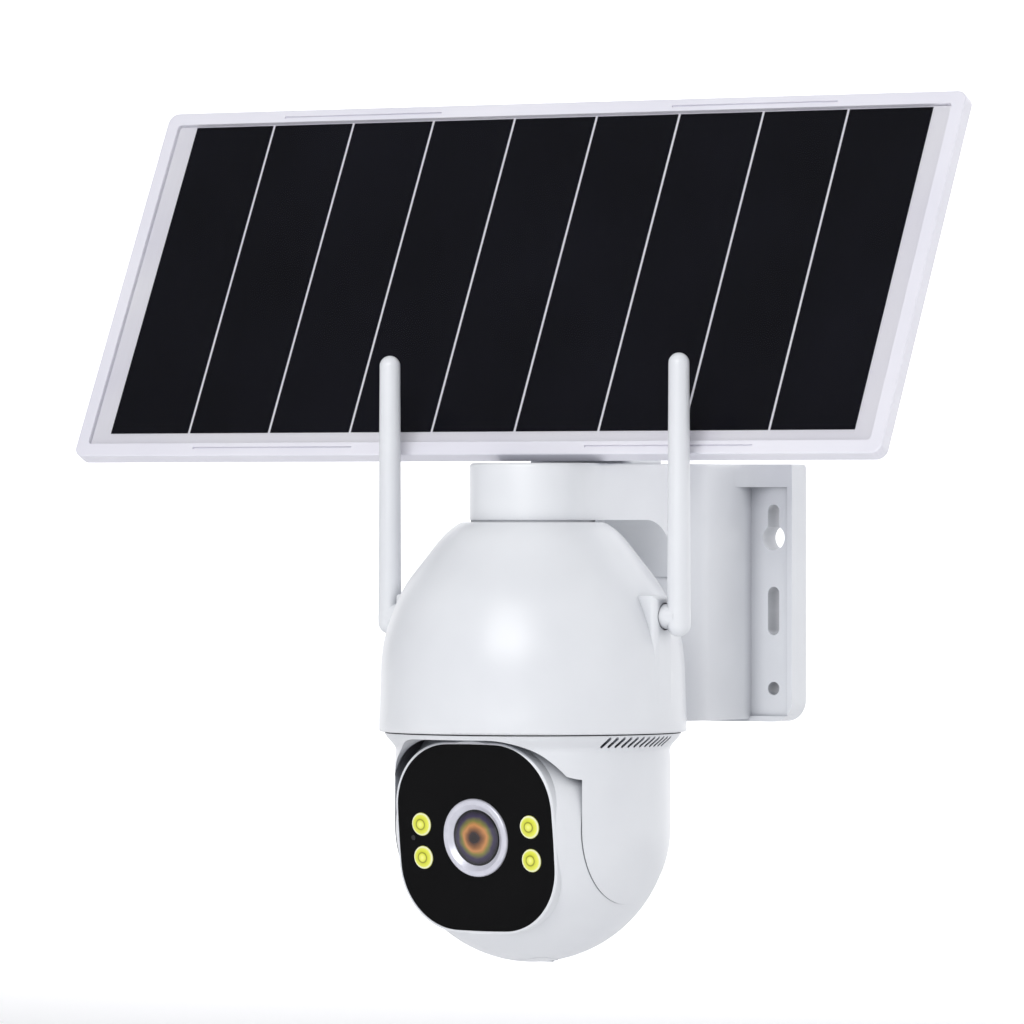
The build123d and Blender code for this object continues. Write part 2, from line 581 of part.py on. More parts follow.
def pan_housing():
    """The lower housing: a fork of two hollow cheeks under a roof that turns inside the dome."""
    body = pan_outside(0) + rod(0, DOME_Y, DOME_RIM_Z - 3, PAN_ROOF, PAN_CUP_R)
    body -= head_pocket()
    body -= window(WINDOW_FRONT, DOME_Y - 60, DOME_Y)
    body -= window(WINDOW_REAR, DOME_Y, DOME_Y + 60)
    hollow = pan_outside(PAN_WALL)
    inner = CHEEK_FACE + CHEEK_WALL
    for side in (-1, 1):
        low, high = sorted((side * CHEEK_FACE, side * (POCKET_HALF + 0.5)))
        body += rod_x(low, high, DOME_Y, TILT_Z, CHEEK_BOSS_R)
        low, high = sorted((side * (POCKET_HALF + OUTER_CHEEK_WALL), side * 60))
        body -= hollow & box_between((low, DOME_Y - 60, TILT_Z - 60), (high, DOME_Y + 60, VENT_Z + 6))
        low, high = sorted((side * inner, side * 60))
        body -= hollow & rod_x(low, high, DOME_Y, TILT_Z, CHEEK_BOSS_R - 2.2)
        low, high = sorted((side * (CHEEK_FACE - 1), side * (CHEEK_FACE + PIVOT_T + 0.1)))
        body -= rod_x(low, high, DOME_Y, TILT_Z, PIVOT_R + 0.1)
        low, high = sorted((side * CHEEK_FACE, side * (inner + 1)))
        body -= rod_x(low, high, DOME_Y, TILT_Z, PIVOT_R - 5)
        for y, z in pivot_places():
            low, high = sorted((side * CHEEK_FACE, side * (inner - 0.4)))
            body -= rod_x(low, high, y, z, PILOT_R)
    for x, y in hub_places():
        body -= rod(x, y, PAN_ROOF - 3.8, PAN_ROOF + 1, PILOT_R)
    body -= rod(0, DOME_Y, PAN_ROOF - 9, PAN_ROOF + 1, HUB_BORE)
    return body - vent_slots()


def pivot_places():
    """Four screw places round a tilt pivot plate."""
    for turn in (45, 135, 225, 315):
        angle = math.radians(turn)
        yield DOME_Y + (PIVOT_R - 2.6) * math.cos(angle), TILT_Z + (PIVOT_R - 2.6) * math.sin(angle)


def hub_places():
    """Four screw places of the pan hub's flange."""
    for turn in (60, 120, 240, 300):
        angle = math.radians(turn)
        yield 17.0 * math.cos(angle), DOME_Y + 17.0 * math.sin(angle)


def pan_hub():
    """The hollow shaft that the lower housing hangs on, with its flange."""
    hub = ring(PAN_ROOF, PAN_ROOF + 2.0, HUB_BORE, 20.0) + ring(PAN_ROOF + 2.0, HUB_TOP, HUB_BORE, HUB_R)
    hub -= ring(CLIP_Z, CLIP_Z + 1.0, HUB_R - 1.0, HUB_R + 1)
    for x, y in hub_places():
        hub -= rod(x, y, PAN_ROOF - 1, PAN_ROOF + 3, SCREW_R + 0.1) + Pos(x, y, PAN_ROOF + 1.4) * Cone(1.35, 2.6, 1.3)
    return hub


def pan_hub_screws():
    """Four countersunk screws through the hub's flange."""
    screw = flat_screw(5.4, SCREW_R, 2.4, 1.2)
    return [Pos(x, y, PAN_ROOF + 2.0) * screw for x, y in hub_places()]


def pan_gear():
    """The large gear pressed on the pan hub."""
    return Pos(0, DOME_Y, PAN_GEAR_Z) * Rot(Z=90) * gear(PAN_TEETH, HUB_R + 0.02, GEAR_T)


def pan_clip():
    """The spring clip in the hub's groove that holds the gear down."""
    clip = ring(CLIP_Z + 0.05, CLIP_Z + 0.95, HUB_R - 0.95, HUB_R + 2.2)
    return clip - box_between((-4, DOME_Y - 20, -40), (4, DOME_Y, 0))


def pivot_plate(side):
    """A cheek's pivot plate with the hollow stub shaft that the head turns on."""
    x = side * CHEEK_FACE
    low, high = sorted((x, x + side * PIVOT_T))
    plate = rod_x(low, high, DOME_Y, TILT_Z, PIVOT_R)
    low, high = sorted((x, side * (STUB_END_GEAR if side > 0 else STUB_END_PLAIN)))
    plate += rod_x(low, high, DOME_Y, TILT_Z, STUB_R)
    low, high = sorted((side * 20, side * 45))
    plate -= rod_x(low, high, DOME_Y, TILT_Z, STUB_BORE)
    for y, z in pivot_places():
        plate -= Pos(x, y, z) * Rot(Y=-90 * side) * (rod(0, 0, -6, 1, SCREW_R + 0.1) + Pos(0, 0, -0.6) * Cone(1.4, 2.9, 1.5))
    return plate


def pivot_plates():
    """The left and right pivot plates."""
    return [pivot_plate(-1), pivot_plate(1)]


def pivot_screws():
    """Eight countersunk screws that hold both pivot plates."""
    screws = []
    for side in (-1, 1):
        for y, z in pivot_places():
            spot = Pos(side * (CHEEK_FACE + 0.15), y, z) * Rot(Y=-90 * side)
            screws.append(spot * flat_screw(2.9, SCREW_R, 2.3, 1.2))
    return screws


def tilt_gear():
    """The gear fixed on the right stub shaft."""
    wheel = Rot(Z=HEAD_DOWN) * gear(TILT_TEETH, STUB_R + 0.02, GEAR_T)
    return Pos(TILT_GEAR_X, DOME_Y, TILT_Z) * Rot(Y=90) * wheel


def loudspeaker():
    """The loudspeaker in the right cheek: a basket, a magnet and a cone."""
    unit = rod_x(0, 3.0, 0, 0, 7.5) + rod_x(-1.0, 0.0, 0, 0, 5.5)
    unit -= Pos(2.4, 0, 0) * Rot(Y=90) * Cone(2.5, 6.5, 1.4)
    return Pos(SPEAKER_X, DOME_Y, SPEAKER_Z) * unit


# ---- camera head, in its own axes ---------------------------------------------------
def place_head(shape):
    """From the head's own axes to the object's."""
    return Pos(0, DOME_Y, TILT_Z) * Rot(X=HEAD_DOWN) * shape


def block_y(half, radius, y_low, y_high):
    """A soft square block along the head's Y."""
    return slab_y(soft_square(half, half - FACE_DROP, radius), y_low, y_high)


def door_place(shape):
    """From the card door's own axes, outwards = -Z, to the head's."""
    return Rot(X=-DOOR_TURN) * shape


def head_shell():
    """The hollow ball slice with its square front collar, side bores, posts and door recess."""
    slab = box_between((-HEAD_SIDE, SHELL_FRONT, -60), (HEAD_SIDE, 60, 60))
    outside = (Sphere(HEAD_R) & slab) + block_y(FACE_HALF, FACE_R, SHELL_FRONT, -14.0)
    inner_half = HEAD_SIDE - HEAD_WALL
    inner_slab = box_between((-inner_half, SHELL_FRONT + 2.4, -60), (inner_half, 60, 60))
    inside = Sphere(HEAD_R - HEAD_WALL) & inner_slab
    for side in (-1, 1):
        low, high = sorted((side * HEAD_HALF, side * 60))
        outside -= rod_x(low, high, 0, 0, HUB_RECESS_R)
        low, high = sorted((side * (HEAD_HALF - HEAD_WALL), side * 60))
        inside -= rod_x(low, high, 0, 0, HUB_RECESS_R + HEAD_WALL)
    inside += block_y(FACE_HALF - HEAD_WALL, FACE_R - HEAD_WALL, SHELL_FRONT + 2.4, -14.0)
    inside += block_y(FACE_HALF - 3.6, FACE_R - 3.6, SHELL_FRONT - 1, SHELL_FRONT + 3)
    shell = outside - inside
    for x in (-1, 1):
        for z in (-1, 1):
            corner = box_between((min(x * POST_IN, x * 30), LED_BOARD_Y + 1.6, min(z * POST_IN, z * 30)),
                                 (max(x * POST_IN, x * 30), -14.0, max(z * POST_IN, z * 30)))
            shell += corner & outside
            shell -= rod_y(x * LED_SCREW, LED_BOARD_Y, LED_BOARD_Y + 11, z * LED_SCREW, PILOT_R)
    for side in (-1, 1):
        low, high = sorted((side * 30, side * 40))
        shell -= rod_x(low, high, 0, 0, STUB_R + 2)
    for z in (-1, 1):
        shell += rod_x(26.5, HEAD_SIDE, 27.0, z * 12.5, 2.8) & outside
        shell -= rod_x(26.0, HEAD_HALF - HEAD_WALL - 1, 27.0, z * 12.5, PILOT_R)
    floor = door_place(box_between((-15, -12, -60), (15, 14.5, 0))) & (Sphere(HEAD_R - 2) - Sphere(HEAD_R - 4.6))
    shell += floor
    shell -= door_place(door_recess())
    shell -= door_place(box_between((-8, -3, -60), (5, -0.4, 0)))
    return shell - door_place(rod(9.0, -2.0, -60, 0, BUTTON_R + 0.12))


def door_recess():
    """The space for the card door and its hinge."""
    plan = extrude(Rectangle(DOOR_W + 0.6, DOOR_H + 0.6), -60)
    plan = fillet(plan.edges().filter_by(Axis.Z), 3.0)
    space = plan - Sphere(DOOR_INNER - 0.15)
    hinge = box_between((-DOOR_EAR - 0.4, DOOR_HINGE_Y - 3, -60), (DOOR_EAR + 0.4, DOOR_HINGE_Y + 2.3, 0))
    return space + (hinge - Sphere(DOOR_INNER - 1.4))


def card_door():
    """The curved door over the memory card slot, with its hinge knuckle."""
    plan = extrude(Rectangle(DOOR_W, DOOR_H), -60)
    plan = fillet(plan.edges().filter_by(Axis.Z), 2.7)
    door = plan & (Sphere(HEAD_R) - Sphere(DOOR_INNER))
    arm = box_between((-DOOR_EAR, DOOR_H / 2 - 1.3, -DOOR_HINGE_R - 0.5), (DOOR_EAR, DOOR_HINGE_Y, -DOOR_HINGE_R + 0.9))
    door += arm + rod_x(-DOOR_EAR, DOOR_EAR, DOOR_HINGE_Y, -DOOR_HINGE_R, 1.25)
    door -= rod_x(-9, 9, DOOR_HINGE_Y, -DOOR_HINGE_R, DOOR_PIN_R + 0.04)
    return place_head(door_place(door))


def card_door_pin():
    """The hinge pin of the card door, held in the shell at both ends."""
    return place_head(door_place(rod_x(-DOOR_EAR - 2.0, DOOR_EAR + 2.0, DOOR_HINGE_Y, -DOOR_HINGE_R, DOOR_PIN_R)))


def head_shell_bored():
    """The head shell with the door pin's bores."""
    pin = door_place(rod_x(-DOOR_EAR - 2.1, DOOR_EAR + 2.1, DOOR_HINGE_Y, -DOOR_HINGE_R, DOOR_PIN_R + 0.01))
    return place_head(head_shell() - pin)


def reset_button():
    """The small reset button under the card door."""
    stem = rod(9.0, -2.0, -DOOR_INNER + 1.2, -DOOR_INNER + 6.5, BUTTON_R)
    head = rod(9.0, -2.0, -DOOR_INNER + 5.3, -DOOR_INNER + 6.5, BUTTON_R + 0.9)
    return place_head(door_place(stem + head))


def card_socket():
    """The memory card socket behind the slot."""
    socket = box_between((-9, -4.4, -DOOR_INNER + 4.3), (6.2, 1.0, -DOOR_INNER + 15))
    socket -= box_between((-8, -3, -60), (5, -0.4, -DOOR_INNER + 14))
    return place_head(door_place(socket))


def face_bezel():
    """The white lip round the front window, with the ledge that the window sits on."""
    slice_y = box_between((-HEAD_SIDE, FACE_Y, -60), (HEAD_SIDE, SHELL_FRONT, 60))
    lip = block_y(FACE_HALF, FACE_R, FACE_Y, SHELL_FRONT)
    lip = fillet(lip.faces().sort_by(Axis.Y)[0].edges(), 0.7) + (Sphere(HEAD_R) & slice_y)
    lip -= block_y(GLASS_HALF + 0.1, GLASS_R + 0.1, FACE_Y - 1, GLASS_BACK + 0.4)
    return place_head(lip - block_y(GLASS_HALF - 1.8, GLASS_R - 1.8, FACE_Y - 1, SHELL_FRONT + 1))


def led_places():
    """The four lamp places on the face."""
    for x in (-LED_X, LED_X):
        for z in (LED_HIGH, LED_LOW):
            yield x, z


def front_window():
    """The dark window, bored for the lens, the lamps and the light sensor."""
    pane = block_y(GLASS_HALF, GLASS_R, GLASS_BACK - GLASS_T, GLASS_BACK)
    pane -= rod_y(0, -40, -30, 0, LENS_RING_R + 0.05)
    for x, z in led_places():
        pane -= rod_y(x, -40, -30, z, LED_R + 0.05)
    return place_head(pane - rod_y(SENSOR_X, -40, -30, -0.6, SENSOR_R + 0.05))


def window_seal():
    """The thin seal behind the window's edge."""
    seal = block_y(GLASS_HALF, GLASS_R, GLASS_BACK, GLASS_BACK + 0.4)
    return place_head(seal - block_y(GLASS_HALF - 1.8, GLASS_R - 1.8, GLASS_BACK - 1, GLASS_BACK + 1))


def lens_ring():
    """The bright ring round the lens, with a sloped inner edge."""
    body = rod_y(0, LENS_RING_Y, LED_BOARD_Y, 0, LENS_RING_R)
    front = body.faces().sort_by(Axis.Y)[0]
    body = fillet(front.edges(), 0.9)
    body -= rod_y(0, -40, -20, 0, LENS_HOLE_R)
    slope = Pos(0, LENS_RING_Y + 0.7, 0) * Rot(X=90) * Cone(LENS_HOLE_R - 0.3, LENS_HOLE_R + 2.0, 1.6)
    return place_head(body - slope)


def lens_barrel():
    """The threaded barrel that holds the lens elements, stepped in towards the back."""
    barrel = rod_y(0, BARREL_FRONT, -9.0, 0, LENS_HOLE_R - FIT)
    barrel -= rod_y(0, BARREL_FRONT - 1, -30.0, 0, 8.3)
    barrel -= rod_y(0, -31, -24.0, 0, 7.4)
    return place_head(barrel - rod_y(0, -25, -8.0, 0, 5.6))


def lens_elements():
    """The domed front element and the smaller rear element."""
    front = rod_y(0, BARREL_FRONT + 0.4, -30.0, 0, 8.25)
    front &= Pos(0, BARREL_FRONT + 0.4 + 13.0, 0) * Sphere(13.0)
    rear = rod_y(0, -21.0, -18.4, 0, 5.55)
    return [place_head(front), place_head(rear)]


def lens_holder():
    """The socket that the barrel screws into, on the sensor board."""
    holder = rod_y(0, -20.0, -8.0, 0, 12.6) + box_between((-13, -9.5, -13), (13, SENSOR_BOARD_Y, 13))
    holder -= rod_y(0, -22, -8.9, 0, LENS_HOLE_R)
    return place_head(holder - box_between((-8, -10, -8), (8, SENSOR_BOARD_Y + 1, 8)))


def sensor_board():
    """The image sensor's circuit board."""
    board = box_between((-19, SENSOR_BOARD_Y, -19), (19, SENSOR_BOARD_Y + 1.6, 19))
    for x, z in standoff_places():
        board -= rod_y(x, -10, 0, z, PILOT_R)
    return place_head(board + box_between((-12, SENSOR_BOARD_Y + 1.6, 6), (0, SENSOR_BOARD_Y + 3.4, 14)))


def image_sensor():
    """The image sensor chip under the lens."""
    return place_head(box_between((-6, SENSOR_BOARD_Y - 1.3, -5), (6, SENSOR_BOARD_Y, 5)))


def standoff_places():
    """Four places of the posts between the lamp board and the sensor board."""
    for x in (-15.5, 15.5):
        for z in (-15.5, 15.5):
            yield x, z


def board_standoffs():
    """Four hexagonal posts between the two boards."""
    post = extrude(RegularPolygon(2.6, 6), SENSOR_BOARD_Y - LED_BOARD_Y - 1.6)
    return [place_head(Pos(x, SENSOR_BOARD_Y, z) * Rot(X=90) * post) for x, z in standoff_places()]


def led_board():
    """The white lamp board round the lens."""
    board = block_y(27.0, 5.0, LED_BOARD_Y, LED_BOARD_Y + 1.6)
    board -= rod_y(0, -40, -20, 0, 11.0)
    for x in (-LED_SCREW, LED_SCREW):
        for z in (-LED_SCREW, LED_SCREW):
            board -= rod_y(x, -40, -20, z, SCREW_R + 0.15)
    return place_head(board)


def led_board_screws():
    """Four screws that hold the lamp board to the shell."""
    screw = Rot(X=90) * pan_screw(9.0, SCREW_R, 2.4, 1.6)
    spots = [(x, z) for x in (-LED_SCREW, LED_SCREW) for z in (-LED_SCREW, LED_SCREW)]
    return [place_head(Pos(x, LED_BOARD_Y, z) * screw) for x, z in spots]


def board_fixings():
    """The lamp board's screws and the posts between the two boards."""
    return led_board_screws() + board_standoffs()


def led_reflectors():
    """Four cup reflectors, each open at the front and the back."""
    cups = []
    for x, z in led_places():
        cup = rod_y(x, REFLECTOR_FRONT, LED_BOARD_Y, z, LED_R)
        depth = LED_BOARD_Y - REFLECTOR_FRONT
        bowl = Pos(x, (REFLECTOR_FRONT + LED_BOARD_Y) / 2, z) * Rot(X=90) * Cone(2.2, 3.9, depth + 0.02)
        cups.append(place_head(cup - bowl))
    return cups


def led_chips():
    """Four lamp chips with their small domes, in the reflectors."""
    chips = []
    for x, z in led_places():
        chip = box_between((x - 1.3, LED_BOARD_Y - 0.8, z - 1.3), (x + 1.3, LED_BOARD_Y, z + 1.3))
        chips.append(place_head(chip + rod_y(x, LED_BOARD_Y - 1.7, LED_BOARD_Y - 0.8, z, 1.1)))
    return chips


def light_sensor():
    """The light sensor's pipe from the lamp board to the window."""
    return place_head(rod_y(SENSOR_X, GLASS_BACK - GLASS_T, LED_BOARD_Y, -0.6, SENSOR_R)
                      + rod_y(SENSOR_X, GLASS_BACK + 0.6, LED_BOARD_Y, -0.6, 1.6))


def head_bushes():
    """Two flanged bushes in the head's sides, running on the stub shafts."""
    bushes = []
    for side in (-1, 1):
        low, high = sorted((side * (HEAD_HALF - 3.0), side * (HEAD_HALF + 0.2)))
        bush = rod_x(low, high, 0, 0, STUB_R + 1.98)
        low, high = sorted((side * (HEAD_HALF - 3.4), side * (HEAD_HALF - HEAD_WALL)))
        bush += rod_x(low, high, 0, 0, STUB_R + 4)
        low, high = sorted((side * 30, side * 40))
        bushes.append(place_head(bush - rod_x(low, high, 0, 0, STUB_R + FIT)))
    return bushes


def tilt_motor():
    """The stepper that tilts the head, with its shaft along +X behind the tilt axis."""
    unit = Rot(Y=-90) * motor(MOTOR_LENGTH, 7.0)
    return place_head(Pos(TILT_MOTOR_X, tilt_distance(), 0) * unit)


def tilt_pinion():
    """The small gear on the tilt motor's shaft."""
    wheel = Rot(Z=180 / PINION_TEETH) * gear(PINION_TEETH, SHAFT_R + FIT, GEAR_T)
    return place_head(Pos(TILT_GEAR_X, tilt_distance(), 0) * Rot(Y=90) * wheel)


def tilt_motor_bracket():
    """The plate that carries the tilt motor on the shell's posts."""
    y = tilt_distance() - MOTOR_OFFSET
    plate = box_between((TILT_MOTOR_X, y - 10, -MOTOR_EAR - 4), (TILT_MOTOR_X + 1.3, y + 15, MOTOR_EAR + 4))
    plate -= rod_x(20, 30, tilt_distance(), 0, 4.7)
    for z in (-1, 1):
        plate -= rod_x(20, 30, y, z * MOTOR_EAR, PILOT_R) + rod_x(20, 30, 27.0, z * 12.5, SCREW_R + 0.15)
    return place_head(plate)


# ---- antennas -----------------------------------------------------------------------
def antenna_rod(side):
    """The tapered antenna sleeve, round at both ends."""
    low, high = ANTENNA_LOW, ANTENNA_HIGH
    side_line = Line((ANTENNA_R_LOW, low + ANTENNA_R_LOW), (ANTENNA_R_HIGH, high - ANTENNA_R_HIGH))
    bottom = RadiusArc((0, low), (ANTENNA_R_LOW, low + ANTENNA_R_LOW), -ANTENNA_R_LOW)
    top = RadiusArc((ANTENNA_R_HIGH, high - ANTENNA_R_HIGH), (0, high), -ANTENNA_R_HIGH)
    outline = make_face([bottom, side_line, top, Line((0, high), (0, low))])
    return Pos(side * ANTENNA_X, DOME_Y, 0) * revolve(Plane.XZ * outline, Axis.Z)


def antenna(side):
    """An antenna: its sleeve, its knuckle disc and the slit snap pin that it turns on."""
    low, high = sorted((side * (LUG_FACE - 1.2), side * ANTENNA_X))
    knuckle = rod_x(low, high, DOME_Y, ANTENNA_Z, KNUCKLE_R)
    low, high = sorted((side * (LUG_PAD - 0.2), side * (LUG_FACE - 1.2)))
    knuckle += rod_x(low, high, DOME_Y, ANTENNA_Z, ANTENNA_PIN_R)
    barb = Rot(Y=90 * side) * Pos(0, 0, -1.1) * Cone(ANTENNA_PIN_R - 0.5, ANTENNA_PIN_R + 1.0, 2.2)
    knuckle += Pos(side * (LUG_PAD - 0.2), DOME_Y, ANTENNA_Z) * barb
    low, high = sorted((side * 40, side * 50))
    slit = box_between((low, DOME_Y - 0.6, ANTENNA_Z - 9), (high, DOME_Y + 0.6, ANTENNA_Z + 9))
    return knuckle - slit + antenna_rod(side)


# ---- solar panel, in its own axes ---------------------------------------------------
def place_panel(shape):
    """From the panel's own axes to the object's."""
    return Pos(PANEL_X, PANEL_Y, PANEL_Z) * Rot(X=PANEL_TILT) * shape


def panel_slab(inset, radius, z_low, z_high):
    """A plate of the panel's outline, drawn in by some distance."""
    outline = RectangleRounded(PANEL_W - 2 * inset, PANEL_H - 2 * inset, radius)
    return Pos(0, PANEL_H / 2, z_low) * extrude(outline, z_high - z_low)


def panel_frame():
    """The white tray: a thin edge band, a chamfered front and a pocket for the laminate."""
    tray = panel_slab(0, 4.0, -PANEL_EDGE, 0)
    tray = fillet(tray.faces().sort_by(Axis.Z)[-1].edges(), 0.6)
    tray = chamfer(tray.faces().sort_by(Axis.Z)[0].edges(), 0.5)
    tray -= panel_slab(POCKET_INSET, 1.5, -POCKET_DEPTH, 1)
    for x, y in panel_screw_places():
        tray -= Pos(x, y, -PANEL_EDGE) * Cylinder(PILOT_R, 4.0)
    for side in (-1, 1):
        low, high = sorted((side * LATCH_START, side * LATCH_END))
        for y in (LATCH_INSET, PANEL_H - LATCH_INSET):
            tray -= box_between((low, y - LATCH_W / 2, -LATCH_W), (high, y + LATCH_W / 2, 1))
    return place_panel(tray)


def panel_backsheet():
    """The white sheet behind the cells, which shows in the gaps between them."""
    return place_panel(panel_slab(POCKET_INSET + 0.2, 1.3, -POCKET_DEPTH, -POCKET_DEPTH + 0.6))


def solar_cells():
    """Nine tall solar cells side by side."""
    low = -POCKET_DEPTH + 0.6
    width = CELL_PITCH - CELL_GAP
    cells = []
    for index in range(CELLS):
        x = (index - (CELLS - 1) / 2) * CELL_PITCH
        cells.append(place_panel(box_between((x - width / 2, CELL_AREA_LOW, low),
                                             (x + width / 2, CELL_AREA_LOW + CELL_AREA_H, low + 0.3))))
    return cells


def panel_cover():
    """The clear cover sheet over the cells."""
    return place_panel(panel_slab(POCKET_INSET + 0.2, 1.3, -POCKET_DEPTH + 0.95, -0.15))


def panel_back_cover():
    """The shallow back shell with sloped sides and vent ribs inside."""
    back = panel_slab(PANEL_BACK_INSET, 6.0, -PANEL_T, -PANEL_EDGE)
    back = chamfer(back.faces().sort_by(Axis.Z)[0].edges(), 3.0)
    hollow = panel_slab(PANEL_BACK_INSET + 3.2, 3.0, -PANEL_T + 2.2, -PANEL_EDGE + 1)
    back -= hollow
    for x, y in panel_screw_places():
        back += Pos(x, y, (-PANEL_T - PANEL_EDGE) / 2) * Cylinder(4.0, PANEL_T - PANEL_EDGE)
        back -= Pos(x, y, -PANEL_T) * (Cylinder(SCREW_R + 0.1, 40) + Cylinder(3.0, 5.0))
    for x, y in leaf_places():
        back += Pos(x, y, -PANEL_T + 3.5) * Cylinder(3.4, 7.0)
        back -= Pos(x, y, -PANEL_T + 2) * Cylinder(PILOT_R, 9.0)
    return place_panel(back)


def panel_screw_places():
    """Six screw places round the panel's back shell."""
    for x in (-152.0, -20.0, 152.0):
        for y in (17.0, PANEL_H - 17.0):
            yield x, y


def panel_screws():
    """Six screws that hold the back shell to the tray."""
    screw = Rot(X=180) * pan_screw(6.2, SCREW_R, 2.6, 1.6)
    return [place_panel(Pos(x, y, -PANEL_T + 2.5) * screw) for x, y in panel_screw_places()]


def junction_box():
    """The junction box on the panel's back, with a lead outlet in its lower end."""
    low = -PANEL_T - 9.0
    box = box_between((JUNCTION_X - 24, 60, low), (JUNCTION_X + 24, 96, -PANEL_T))
    box = fillet(box.edges().filter_by(Axis.Z), 4.0)
    box = fillet(box.faces().sort_by(Axis.Z)[0].edges(), 1.2)
    box -= box_between((JUNCTION_X - 21.5, 62.5, low + 2.2), (JUNCTION_X + 21.5, 93.5, -PANEL_T + 1))
    return place_panel(box - rod_y(JUNCTION_X, 55, 65, -PANEL_T - JUNCTION_HOLE, 3.0))


def panel_gland():
    """The rubber outlet in the junction box for the panel's lead."""
    z = -PANEL_T - JUNCTION_HOLE
    plug = rod_y(JUNCTION_X, 54, 62.5, z, 2.95) + rod_y(JUNCTION_X, 54, 60, z, 3.8)
    return place_panel(plug - rod_y(JUNCTION_X, 50, 70, z, 1.7))


def leaf_places():
    """Four screw places of the hinge leaf on the panel's back."""
    for x in (-LEAF_W / 2 + 6, LEAF_W / 2 - 6):
        for y in (LEAF_LOW + 6, LEAF_HIGH - 6):
            yield -PANEL_X + x, y


def hinge_leaf():
    """The leaf on the panel's back, with one thick ear on the pivot."""
    x = -PANEL_X
    leaf = box_between((x - LEAF_W / 2, LEAF_LOW, -PANEL_T - LEAF_T), (x + LEAF_W / 2, LEAF_HIGH, -PANEL_T))
    leaf = fillet(leaf.edges().filter_by(Axis.Z), 4.0)
    half = EAR_GAP / 2 - 0.35
    ear = rod_x(x - half, x + half, PANEL_PIVOT_UP, -PANEL_PIVOT_BACK, EAR_R)
    ear += box_between((x - half, PANEL_PIVOT_UP - EAR_R, -PANEL_PIVOT_BACK),
                       (x + half, PANEL_PIVOT_UP + EAR_R, -PANEL_T - LEAF_T + 0.5))
    for side in (-1, 1):
        rib_x = sorted((x + side * half, x + side * (half - 3)))
        ear += box_between((rib_x[0], PANEL_PIVOT_UP - 9, -PANEL_T - LEAF_T - 3), (rib_x[1], LEAF_HIGH - 4, -PANEL_T - 1))
    leaf += ear
    leaf -= rod_x(x - 20, x + 20, PANEL_PIVOT_UP, -PANEL_PIVOT_BACK, BOLT_R + FIT)
    for px, py in leaf_places():
        leaf -= Pos(px, py, -PANEL_T) * Cylinder(SCREW_R + 0.1, 20)
    return place_panel(leaf)


def leaf_screws():
    """Four screws through the hinge leaf into the back shell."""
    screw = Rot(X=180) * pan_screw(7.0, SCREW_R, 2.6, 1.6)
    return [place_panel(Pos(x, y, -PANEL_T - LEAF_T) * screw) for x, y in leaf_places()]


def pivot_base():
    """The fork on top of the arm that the hinge leaf turns in."""
    low = ARM_TOP
    base = box_between((-BASE_HALF_W, PIVOT_Y - BASE_HALF_D, low), (BASE_HALF_W, PIVOT_Y + BASE_HALF_D, low + BASE_T))
    base = fillet(base.edges().filter_by(Axis.Z), 3.0)
    for side in (-1, 1):
        x_low, x_high = sorted((side * EAR_GAP / 2, side * (EAR_GAP / 2 + EAR_T)))
        base += rod_x(x_low, x_high, PIVOT_Y, PIVOT_Z, EAR_R)
        base += box_between((x_low, PIVOT_Y - EAR_R, low), (x_high, PIVOT_Y + EAR_R, PIVOT_Z))
    base -= rod_x(-30, 30, PIVOT_Y, PIVOT_Z, BOLT_R + 0.02)
    for x, y in mount_base_places():
        base -= rod(x, y, low - 1, low + BASE_T + 1, SCREW_R + 0.1)
    return base


def pivot_base_screws():
    """Four screws that hold the fork down on the arm."""
    return screws_down(mount_base_places(), ARM_TOP + BASE_T, 12.0)


def pivot_bolt():
    """The bolt through the fork and the leaf, with a hexagonal head on the left."""
    end = EAR_GAP / 2 + EAR_T
    bolt = rod_x(-end, end + 9.0, PIVOT_Y, PIVOT_Z, BOLT_R)
    head = extrude(RegularPolygon(4.6, 6), -3.5)
    return bolt + Pos(-end, PIVOT_Y, PIVOT_Z) * Rot(Y=90) * head


def tilt_knob():
    """The lobed clamp knob on the bolt's right end."""
    outline = Circle(7.6)
    for index in range(6):
        angle = math.radians(60 * index)
        outline += Pos(7.2 * math.cos(angle), 7.2 * math.sin(angle)) * Circle(2.2)
    knob = extrude(outline, 7.0)
    knob = fillet(knob.faces().sort_by(Axis.Z)[-1].edges(), 0.8) + Pos(0, 0, -1.4) * Cylinder(6.0, 2.8)
    knob -= Pos(0, 0, 0) * Cylinder(BOLT_R + 0.02, 16.2)
    return Pos(EAR_GAP / 2 + EAR_T + 3.0, PIVOT_Y, PIVOT_Z) * Rot(Y=90) * knob


def dome_screws():
    """The screws of the neck, the deck and the pan motor."""
    return neck_screws() + deck_screws() + pan_motor_screws()


def bracket_screws():
    """The screws of the back cover and the pivot fork."""
    return bracket_cover_screws() + pivot_base_screws()


def pan_screws():
    """The countersunk screws of the hub and the pivot plates."""
    return pan_hub_screws() + pivot_screws()


def all_panel_screws():
    """The screws of the panel's back shell and the hinge leaf."""
    return panel_screws() + leaf_screws()


def panned(shape):
    """Turn a piece of the lower housing or the head about the pan axis, to where it is left at rest."""
    return Pos(0, DOME_Y, 0) * Rot(Z=PAN_REST) * Pos(0, -DOME_Y, 0) * shape


def grouped(shapes):
    """Like pieces as separate solids of one node."""
    return Compound(children=list(shapes))


